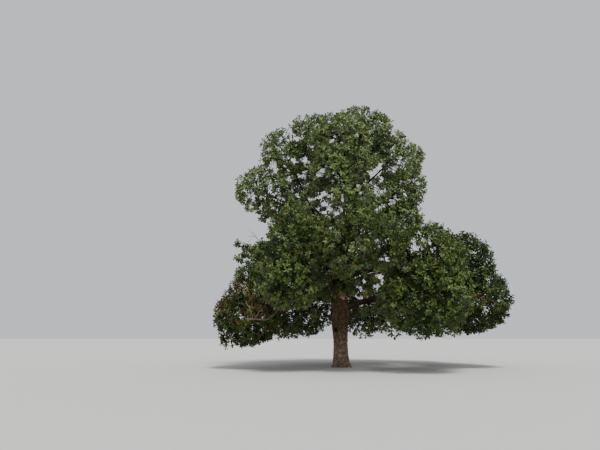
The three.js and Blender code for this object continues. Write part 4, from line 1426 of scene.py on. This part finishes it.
def leaf_group():
    """A leaf's colour round its tint: slow and quick noise over the crown change how light it is, and
    the midrib and side veins, read from the leaf's own map, are paler and stand proud."""
    name = "Oak leaf"
    if name in bpy.data.node_groups:
        return bpy.data.node_groups[name]
    tree, given, result = new_group(
        name,
        [("Tint", "NodeSocketColor", (0.06, 0.09, 0.02, 1)), ("Vein strength", "NodeSocketFloat", 0.3)],
        [("Color", "NodeSocketColor"), ("Roughness", "NodeSocketFloat"), ("Height", "NodeSocketFloat")],
    )
    place = add_node(tree, "ShaderNodeTexCoord").outputs["Object"]
    slow = noise(tree, place, scale=0.9, detail=1.0)["Fac"]
    quick = noise(tree, place, scale=9.0, detail=1.0)["Fac"]
    tone = math_node(
        tree, "MULTIPLY", ranged(tree, slow, SLOW_RANGE, SLOW_TONES),
        ranged(tree, quick, NOISE_RANGE, QUICK_TONES),
    )
    toned = mixed(tree, 1.0, given["Tint"], tone, "MULTIPLY")
    leaf_map = add_node(tree, "ShaderNodeUVMap", uv_map="leaf").outputs[0]
    flat = add_node(tree, "ShaderNodeSeparateXYZ", {0: leaf_map}).outputs
    off = math_node(tree, "ABSOLUTE", flat["Y"])
    midrib = ranged(tree, off, MIDRIB_EDGE, FULL_TO_NONE)
    slant = math_node(tree, "MULTIPLY_ADD", off, VEIN_SLANT, flat["X"])
    side = ranged(tree, math_node(tree, "PINGPONG", slant, VEIN_STEP), VEIN_EDGE, VEIN_SHARE)
    vein = math_node(tree, "MAXIMUM", midrib, side)
    share = math_node(tree, "MULTIPLY", vein, given["Vein strength"])
    pale = mixed(tree, 1.0, toned, VEIN_TINT, "MULTIPLY")
    tree.links.new(mixed(tree, share, toned, pale), result["Color"])
    tree.links.new(ranged(tree, quick, NOISE_RANGE, LEAF_ROUGHNESS), result["Roughness"])
    tree.links.new(vein, result["Height"])
    return tree


def new_material(name):
    """A material with only its shader and output, and the shader."""
    material = bpy.data.materials.new(name)
    material.use_nodes = True
    tree = material.node_tree
    tree.nodes.clear()
    shader = tree.nodes.new("ShaderNodeBsdfPrincipled")
    output = tree.nodes.new("ShaderNodeOutputMaterial")
    tree.links.new(shader.outputs["BSDF"], output.inputs["Surface"])
    return material, tree, shader


def with_bump(tree, shader, height, strength, distance):
    """Feeds a height to the shader's normal."""
    inputs = {"Height": height, "Strength": strength, "Distance": distance}
    bump = add_node(tree, "ShaderNodeBump", inputs)
    tree.links.new(bump.outputs["Normal"], shader.inputs["Normal"])


# The bark's shine. Then the trunk's colours by height: darker to the ground, the foot's grey that ends
# over a range, and the boughs' colour from the fork up, which is painted shade under the leaves. Then the
# soft edges of its hollow, which holds painted shade, and of its wound, how ragged they are, and the
# scales and edge of the torn grain in the wound.
BARK_SHINE = 0.25
GROUND_HEIGHTS = (0.0, 1.0)
GROUND_TONES = (0.68, 1.0)
FOOT_ENDS = (0.9, 2.0)
FORK_SHADE_HEIGHTS = (3.6, 4.3)
HOLLOW_EDGE = (0.75, 1.25)
HOLLOW_PAINTED_SHADE = (0.012, 0.008, 0.006, 1)
WOUND_EDGE = (1.2, 1.42)
RAGGED_SCALE = 14.0
RAGGED_SHARE = 0.9
TEAR_SLANT = math.radians(35)
TEAR_SCALES = (9.0, 2.2)
TEAR_EDGE = (0.46, 0.54)


def lay_bark(tree, shader, colour, scale, stretch, strength, distance):
    """Gives a shader the bark's roughness, shine and relief. Returns the bark's colour."""
    inputs = {"Plate colour": colour, "Scale": scale, "Stretch": stretch}
    bark = add_node(tree, "ShaderNodeGroup", inputs, node_tree=bark_group()).outputs
    tree.links.new(bark["Roughness"], shader.inputs["Roughness"])
    shader.inputs["Specular IOR Level"].default_value = BARK_SHINE
    with_bump(tree, shader, bark["Height"], strength, distance)
    return bark["Color"]


def bark_material(name, colour, scale, stretch, strength=0.7):
    """Bark in one colour."""
    material, tree, shader = new_material(name)
    shown = lay_bark(tree, shader, (*colour, 1), scale, stretch, strength, distance=0.015)
    tree.links.new(shown, shader.inputs["Base Color"])
    return material


def patch_mask(tree, place, patch, edge):
    """1 inside an ellipsoid round a patch of the trunk's face and 0 outside, with a ragged edge."""
    angle = math.radians(patch["bearing"])
    girth = float(trunk_girth(patch["height"]))
    middle = (math.cos(angle) * girth, math.sin(angle) * girth, patch["height"])
    size = (patch["half_width"], patch["half_width"], patch["half_height"])
    centred = vector_math(tree, "SUBTRACT", place, middle)["Vector"]
    scaled = vector_math(tree, "DIVIDE", centred, size)["Vector"]
    length = vector_math(tree, "LENGTH", scaled)["Value"]
    ragged = noise(tree, place, RAGGED_SCALE, detail=3.0)["Fac"]
    away = math_node(tree, "MULTIPLY_ADD", ragged, RAGGED_SHARE, length)
    return ranged(tree, away, edge, FULL_TO_NONE)


def torn_wood(tree, place, settings):
    """Bare wood in two tones, with a grain that slants down across the wound."""
    beside = polar(WOUND["bearing"] + 90)
    across = beside * math.cos(TEAR_SLANT) + np.array([0, 0, math.sin(TEAR_SLANT)])
    along = beside * math.sin(TEAR_SLANT) - np.array([0, 0, math.cos(TEAR_SLANT)])
    ways = [
        vector_math(tree, "DOT_PRODUCT", place, tuple(way * scale))["Value"]
        for way, scale in zip((across, along), TEAR_SCALES)
    ]
    grain_place = add_node(tree, "ShaderNodeCombineXYZ", {"X": ways[0], "Y": ways[1]}).outputs[0]
    grain = ranged(tree, noise(tree, grain_place, scale=1.0, detail=2.0)["Fac"], TEAR_EDGE)
    return mixed(tree, grain, (*settings.torn_colour, 1), (*settings.wound_colour, 1))


def trunk_material(settings):
    """The trunk's bark: greyer at the foot and browner above, darkened with painted shade from the fork
    up, nearly black with painted shade in the burr's hollow, and bare reddish wood with a torn grain in
    the wound."""
    material, tree, shader = new_material("oak_trunk_bark")
    place = add_node(tree, "ShaderNodeTexCoord").outputs["Object"]
    height = add_node(tree, "ShaderNodeSeparateXYZ", {0: place}).outputs["Z"]
    dusk = ranged(tree, height, GROUND_HEIGHTS, GROUND_TONES)
    foot = mixed(tree, 1.0, (*settings.foot_colour, 1), dusk, "MULTIPLY")
    colour = mixed(tree, ranged(tree, height, FOOT_ENDS), foot, (*settings.upper_colour, 1))
    # Painted shade from the fork up, where the leaves shade the trunk: it darkens to the boughs' colour.
    colour = mixed(tree, ranged(tree, height, FORK_SHADE_HEIGHTS), colour, (*settings.bough_colour, 1))
    bark = lay_bark(tree, shader, colour, scale=17.0, stretch=0.3, strength=0.8, distance=0.02)
    # Painted shade: the burr's hollow is nearly black.
    hollow_shaded = mixed(tree, patch_mask(tree, place, BURR, HOLLOW_EDGE), bark, HOLLOW_PAINTED_SHADE)
    wound = patch_mask(tree, place, WOUND, WOUND_EDGE)
    shown = mixed(tree, wound, hollow_shaded, torn_wood(tree, place, settings))
    tree.links.new(shown, shader.inputs["Base Color"])
    return material


def dead_material(settings):
    """Weathered wood: pale, with long grey cracks."""
    colour = tuple(settings.dead_colour)
    return bark_material("oak_dead_wood", colour, scale=26.0, stretch=0.3, strength=0.4)


# How far the dome's leaves turn to its grey, a painted sheen of sky. Then a leaf's underside: its colour
# and how much of it shows, and the leaf's shine.
DOME_SHEEN_SHARE = 0.22
UNDERSIDE_COLOUR = (0.13, 0.15, 0.10, 1)
UNDERSIDE_SHARE = 0.45
LEAF_SHINE = 0.26


def leaf_colours(settings):
    """Each tint's colour in the skirt, and then in the dome, where leaves are lighter with painted light
    and greyer with a painted sheen.
    """
    skirt = {tint: np.array(getattr(settings, tint)) for tint in TINTS}
    grey = np.array(settings.dome_sheen_grey)
    dome = {
        tint: settings.dome_painted_light * colour * (1 - DOME_SHEEN_SHARE) + grey * DOME_SHEEN_SHARE
        for tint, colour in skirt.items()
    }
    return skirt, dome


def leaf_material(name, colour):
    """One tint of leaf: the upper face in its tint, and the underside paler, greyer and duller."""
    material, tree, shader = new_material(name)
    inputs = {"Tint": (*colour, 1)}
    leaf = add_node(tree, "ShaderNodeGroup", inputs, node_tree=leaf_group()).outputs
    back = add_node(tree, "ShaderNodeNewGeometry").outputs["Backfacing"]
    pale = mixed(tree, UNDERSIDE_SHARE, leaf["Color"], UNDERSIDE_COLOUR)
    tree.links.new(mixed(tree, back, leaf["Color"], pale), shader.inputs["Base Color"])
    tree.links.new(leaf["Roughness"], shader.inputs["Roughness"])
    shader.inputs["Specular IOR Level"].default_value = LEAF_SHINE
    with_bump(tree, shader, leaf["Height"], strength=0.25, distance=0.004)
    return material


class OAK_OT_trunk(bpy.types.Operator):
    """Makes the trunk's bark, with its flare, fissures, burr and torn wound"""

    bl_idname = "oak.trunk"
    bl_label = "Trunk"

    def execute(self, context):
        settings = context.scene.oak_bark
        points, faces, relief = trunk_surface(settings)
        piece = make_piece("trunk_bark", points, faces, [trunk_material(settings)], relief=relief)
        place_piece(piece, ["trunk"])
        return {"FINISHED"}


class OAK_OT_boughs(bpy.types.Operator):
    """Makes the bark of every living bough"""

    bl_idname = "oak.boughs"
    bl_label = "Boughs"

    def execute(self, context):
        settings = context.scene.oak_bark
        colour = tuple(settings.bough_colour)
        material = bark_material("oak_bough_bark", colour, scale=15.0, stretch=0.45)
        limbs = grow_skeleton()[1]
        for name, limb in limbs.items():
            if name == DEAD_LIMB["name"]:
                continue
            points, faces, relief = limb_surface(limb)
            piece = make_piece(f"limb_{name}", points, faces, [material], relief=relief)
            place_piece(piece, [f"bough_{name}"])
        return {"FINISHED"}


class OAK_OT_dead_wood(bpy.types.Operator):
    """Makes the dead limb and its bare arms"""

    bl_idname = "oak.dead_wood"
    bl_label = "Dead limb"

    def execute(self, context):
        material = dead_material(context.scene.oak_bark)
        limb = grow_skeleton()[1][DEAD_LIMB["name"]]
        limb.path = sagging(limb.path, DEAD_SAG)
        points, faces, relief = limb_surface(limb)
        piece = make_piece("bare_limb", points, faces, [material], relief=relief)
        place_piece(piece, ["dead_limb"])
        curves, thick, thin = dead_arms(limb.path[-1], limb.tip_radius)
        points, faces = tubes(curves, thick, thin, DEAD_STEPS, DEAD_SIDES)
        piece = make_piece("bare_arms", points, faces, [material], relief=np.ones(len(points)))
        place_piece(piece, ["dead_twigs"])
        return {"FINISHED"}


TWIG_COLOUR = (0.05, 0.038, 0.027)
SKIRT_TIERS = ("low", "mid", "outer")


class OAK_OT_foliage(bpy.types.Operator):
    """Grows the twigs and the leaves of every mass"""

    bl_idname = "oak.foliage"
    bl_label = "Twigs and leaves"

    def execute(self, context):
        settings = context.scene.oak_foliage
        masses, limbs = grow_skeleton()
        samples = limb_samples(limbs)
        bark = bark_material("oak_twig_bark", TWIG_COLOUR, scale=40.0, stretch=0.6, strength=0.4)
        leaves = {}
        # Lit copies of the leaf materials for the dome, with painted light and a painted sheen.
        for place, colours in zip(("skirt", "dome"), leaf_colours(settings)):
            leaves[place] = [
                leaf_material(f"oak_leaf_{place}_{tint}", tuple(colour))
                for tint, colour in colours.items()
            ]
        wood = {}
        for mass in masses:
            growth = grow_mass(mass, limbs, samples, settings)
            points, faces, tint, leaf_map = leaf_arrays(growth, settings)
            place = "skirt" if mass.tier in SKIRT_TIERS else "dome"
            piece = make_piece(
                f"foliage_{mass.name}", points, [faces], leaves[place], smooth=False,
                dealt=tint, leaf_map=leaf_map,
            )
            place_piece(piece, [f"leaves_{mass.name}"])
            wood.setdefault(mass.tier, []).append((mass.name, joined(twig_parts(growth))))
        for tier, grown in wood.items():
            points, faces = joined([part for name, part in grown])
            piece = make_piece(f"twigs_{tier}", points, faces, [bark], relief=np.ones(len(points)))
            place_piece(piece, [f"leaves_{name}" for name, part in grown])
        return {"FINISHED"}


FLOOR_HALF = 400.0
FLOOR_ROUGHNESS = 0.9
SENSOR_WIDTH = 36
FARTHEST_SHOWN = 2000
WORLD_COLOUR = (0.94, 0.97, 1.0, 1)
SUN_BEARING = -75
SUN_HEIGHT = 64
SUN_SOFTNESS = 18


class OAK_OT_stage(bpy.types.Operator):
    """Sets the floor, the light and the photograph's view"""

    bl_idname = "oak.stage"
    bl_label = "Stage"

    def execute(self, context):
        settings = context.scene.oak_stage
        corners = np.array([(-1, -1, 0), (1, -1, 0), (1, 1, 0), (-1, 1, 0)], float) * FLOOR_HALF
        material, _, shader = new_material("studio_floor")
        shader.inputs["Base Color"].default_value = (*settings.floor_colour, 1)
        shader.inputs["Roughness"].default_value = FLOOR_ROUGHNESS
        floor = make_piece("studio_floor", corners, [np.array([[0, 1, 2, 3]])], [material])

        world = bpy.data.worlds.new("studio")
        world.use_nodes = True
        background = world.node_tree.nodes["Background"]
        background.inputs["Color"].default_value = WORLD_COLOUR
        background.inputs["Strength"].default_value = settings.sky_strength
        context.scene.world = world

        lamp = bpy.data.lights.new("soft_sun", "SUN")
        lamp.energy = settings.sun_strength
        lamp.angle = math.radians(SUN_SOFTNESS)
        sun = bpy.data.objects.new("soft_sun", lamp)
        sun.rotation_euler = (math.radians(90 - SUN_HEIGHT), 0, math.radians(SUN_BEARING + 90))
        context.scene.collection.objects.link(sun)

        camera = bpy.data.objects.new("photograph_view", bpy.data.cameras.new("photograph_view"))
        camera.data.lens = settings.lens
        camera.data.sensor_width = SENSOR_WIDTH
        camera.data.clip_end = FARTHEST_SHOWN
        camera.location = EYE
        camera.rotation_euler = (math.pi / 2 + PITCH, 0, 0)
        context.scene.collection.objects.link(camera)
        context.scene.camera = camera
        return {"FINISHED"}


class OAK_PT_panel(bpy.types.Panel):
    """Lists the pieces of the oak and their settings"""

    bl_idname = "OAK_PT_panel"
    bl_label = "Oak"
    bl_space_type = "VIEW_3D"
    bl_region_type = "UI"
    bl_category = "Oak"

    def draw(self, context):
        layout = self.layout
        for operator in OPERATORS:
            layout.operator(operator.bl_idname)
        for settings in (context.scene.oak_bark, context.scene.oak_foliage, context.scene.oak_stage):
            box = layout.box()
            for name in type(settings).__annotations__:
                box.prop(settings, name)


OPERATORS = [OAK_OT_stage, OAK_OT_trunk, OAK_OT_boughs, OAK_OT_dead_wood, OAK_OT_foliage]
SETTINGS = {"oak_bark": OakBarkSettings, "oak_foliage": OakFoliageSettings, "oak_stage": OakStageSettings}


def register():
    for name, group in SETTINGS.items():
        bpy.utils.register_class(group)
        setattr(bpy.types.Scene, name, bpy.props.PointerProperty(type=group))
    for shown in [*OPERATORS, OAK_PT_panel]:
        bpy.utils.register_class(shown)


def unregister():
    for shown in [OAK_PT_panel, *reversed(OPERATORS)]:
        bpy.utils.unregister_class(shown)
    for name, group in reversed(SETTINGS.items()):
        delattr(bpy.types.Scene, name)
        bpy.utils.unregister_class(group)


def main():
    register()
    bpy.ops.oak.stage()
    bpy.ops.oak.trunk()
    bpy.ops.oak.boughs()
    bpy.ops.oak.dead_wood()
    bpy.ops.oak.foliage()


if __name__ == "__main__":
    main()
